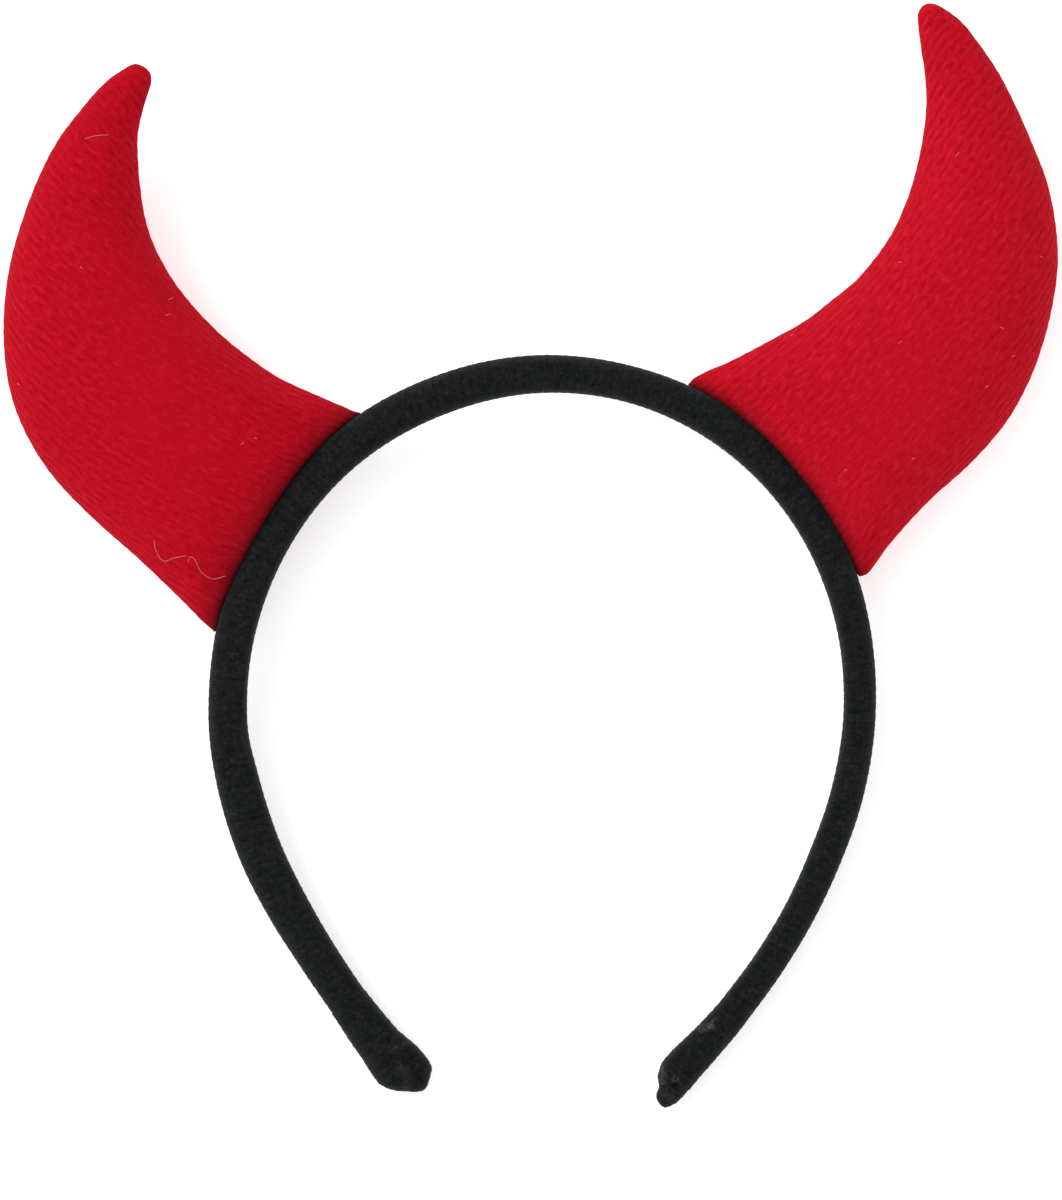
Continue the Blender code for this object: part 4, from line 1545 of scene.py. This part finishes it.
LEFT_LINT = Lint("lint_left", (
    ((156.0, 541.0), (158.0, 551.0), (165.0, 561.0), (176.0, 558.0), (188.0, 556.0)),
    ((190.0, 562.0), (192.0, 557.0), (197.0, 560.0), (201.0, 569.0), (206.0, 575.0), (215.0, 579.0),
     (226.0, 576.0)),
    ((87.0, 141.0), (98.0, 138.0), (110.0, 137.0)),
    ((84.0, 269.0), (86.0, 272.0)),
    ((170.0, 301.0), (174.0, 299.0)),
    ((168.0, 317.0), (172.0, 316.0)),
    ((256.0, 439.0), (259.0, 440.0)),
    ((243.0, 446.0), (246.0, 444.0)),
    ((19.5, 384.0), (22.0, 386.0)),
))
RIGHT_LINT = Lint("lint_right", (
    ((953.0, 159.0), (957.0, 155.0)),
    ((897.0, 264.0), (899.5, 264.5)),
    ((1037.0, 258.0), (1040.0, 259.0)),
    ((996.0, 329.0), (1000.0, 331.0)),
    ((790.0, 337.0), (793.0, 335.0)),
    ((909.0, 459.0), (912.0, 460.0)),
    ((842.0, 472.0), (845.0, 470.0)),
    ((1009.0, 358.0), (1012.0, 357.0)),
    ((895.0, 346.0), (898.0, 344.0)),
    ((982.0, 389.0), (985.0, 387.0)),
))
LEFT_HORN = StuffedHorn(
    name="horn_left",
    base_from_deg=169.3,
    base_to_deg=123.3,
    lean_deg=1.0,
    reach=92.9 * MM,
    fullness=26.5 * MM,
    rows=LEFT_HORN_TABLE,
    rib_deg=146.0,
    rib_curl=5.0,
    patches=(
        BrushedPatch((150.0, 330.0), 26.0 * MM, 11.0 * MM, 105.0),
        BrushedPatch((185.0, 450.0), 12.0 * MM, 10.0 * MM, 130.0, 0.7),
    ),
    seed=3,
    low_spill_deg=0.1,
    crown_spill_deg=0.7,
    joint_shade_reach=2.7 * MM,
)
RIGHT_HORN = StuffedHorn(
    name="horn_right",
    base_from_deg=19.3,
    base_to_deg=64.5,
    lean_deg=1.2,
    reach=97.2 * MM,
    fullness=26.5 * MM,
    rows=RIGHT_HORN_TABLE,
    rib_deg=49.0,
    rib_curl=0.0,
    patches=(
        BrushedPatch((905.0, 400.0), 16.0 * MM, 10.0 * MM, 70.0, 0.9),
        BrushedPatch((960.0, 230.0), 12.0 * MM, 8.0 * MM, 100.0, 0.5),
    ),
    seed=7,
    low_spill_deg=-1.4,
    crown_spill_deg=0.7,
    joint_shade_reach=1.8 * MM,
    finish=PALER_RED_FABRIC,
)


@dataclass
class Studio:
    """A pale floor, soft light from the upper left and the camera of the photograph."""

    lie: Lie
    camera_distance: float = 1.30
    camera_sight: float = 50.0
    sensor: float = 36.0 * MM
    floor_half: float = 3.0
    floor_colour: tuple[float, float, float] = (0.92, 0.92, 0.92)
    floor_glow: float = 0.42
    sky_strength: float = 0.90
    key_power: float = 78.0
    key_size: float = 2.7
    key_place: tuple[float, float, float] = (-2.6, 1.2, 2.9)

    def aim(self) -> Vector:
        """Return the point of the hoop's plane that stands in the middle of the picture."""
        middle = PHOTO.on_hoop((0.5 * PHOTO.width_px, 0.5 * PHOTO.height_px))
        return Vector(self.lie.down(np.array((*middle, 0.0))))

    def set_camera(self) -> None:
        """Stand the camera square to the hoop, with the photograph's frame."""
        height = PHOTO.height_px / PHOTO.px_per_m
        data = bpy.data.cameras.new("photograph")
        data.sensor_width = self.sensor / MM
        data.lens = self.sensor / MM * self.camera_distance / height
        data.clip_end = self.camera_sight
        camera = put_in_scene("photograph", data)
        back, up = Vector(self.lie.front()), Vector(self.lie.up())
        turned = Matrix((up.cross(back), up, back)).transposed().to_4x4()
        camera.matrix_world = Matrix.Translation(self.aim() + back * self.camera_distance) @ turned
        bpy.context.scene.camera = camera

    def lay_floor(self) -> None:
        """Lay a plain pale floor under the headband."""
        half = self.floor_half
        corners = np.array(((-half, -half, 0.0), (half, -half, 0.0), (half, half, 0.0), (-half, half, 0.0)))
        floor = mesh_object("floor", corners, [(0, 1, 2, 3)])
        finish = PlainFinish("pale_floor", self.floor_colour, drift=0.0, glow=self.floor_glow)
        floor.data.materials.append(finish.material())

    def light(self) -> None:
        """Set an even sky and one large soft lamp at the upper left."""
        world = bpy.data.worlds.new("studio")
        world.use_nodes = True
        sky = world.node_tree.nodes["Background"]
        sky.inputs["Color"].default_value = (1.0, 1.0, 1.0, 1.0)
        sky.inputs["Strength"].default_value = self.sky_strength
        bpy.context.scene.world = world
        data = bpy.data.lights.new("key", "AREA")
        data.shape = "DISK"
        data.size = self.key_size
        data.energy = self.key_power
        lamp = put_in_scene("key", data)
        lamp.location = self.aim() + Vector(self.key_place)
        lamp.rotation_euler = (self.aim() - lamp.location).to_track_quat("-Z", "Y").to_euler()


def main() -> None:
    """Build the cover, the horns and the studio."""
    logging.basicConfig(level=logging.INFO, format="%(name)s: %(message)s")
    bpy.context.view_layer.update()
    lie = Lie()
    lie.settle(HoopLine())
    Headband().build(lie)
    for horn, lint in ((LEFT_HORN, LEFT_LINT), (RIGHT_HORN, RIGHT_LINT)):
        lint.build(lie, horn.build(lie))
    studio = Studio(lie)
    studio.lay_floor()
    studio.light()
    studio.set_camera()
    bpy.context.scene.view_settings.view_transform = "Standard"


if __name__ == "__main__":
    main()
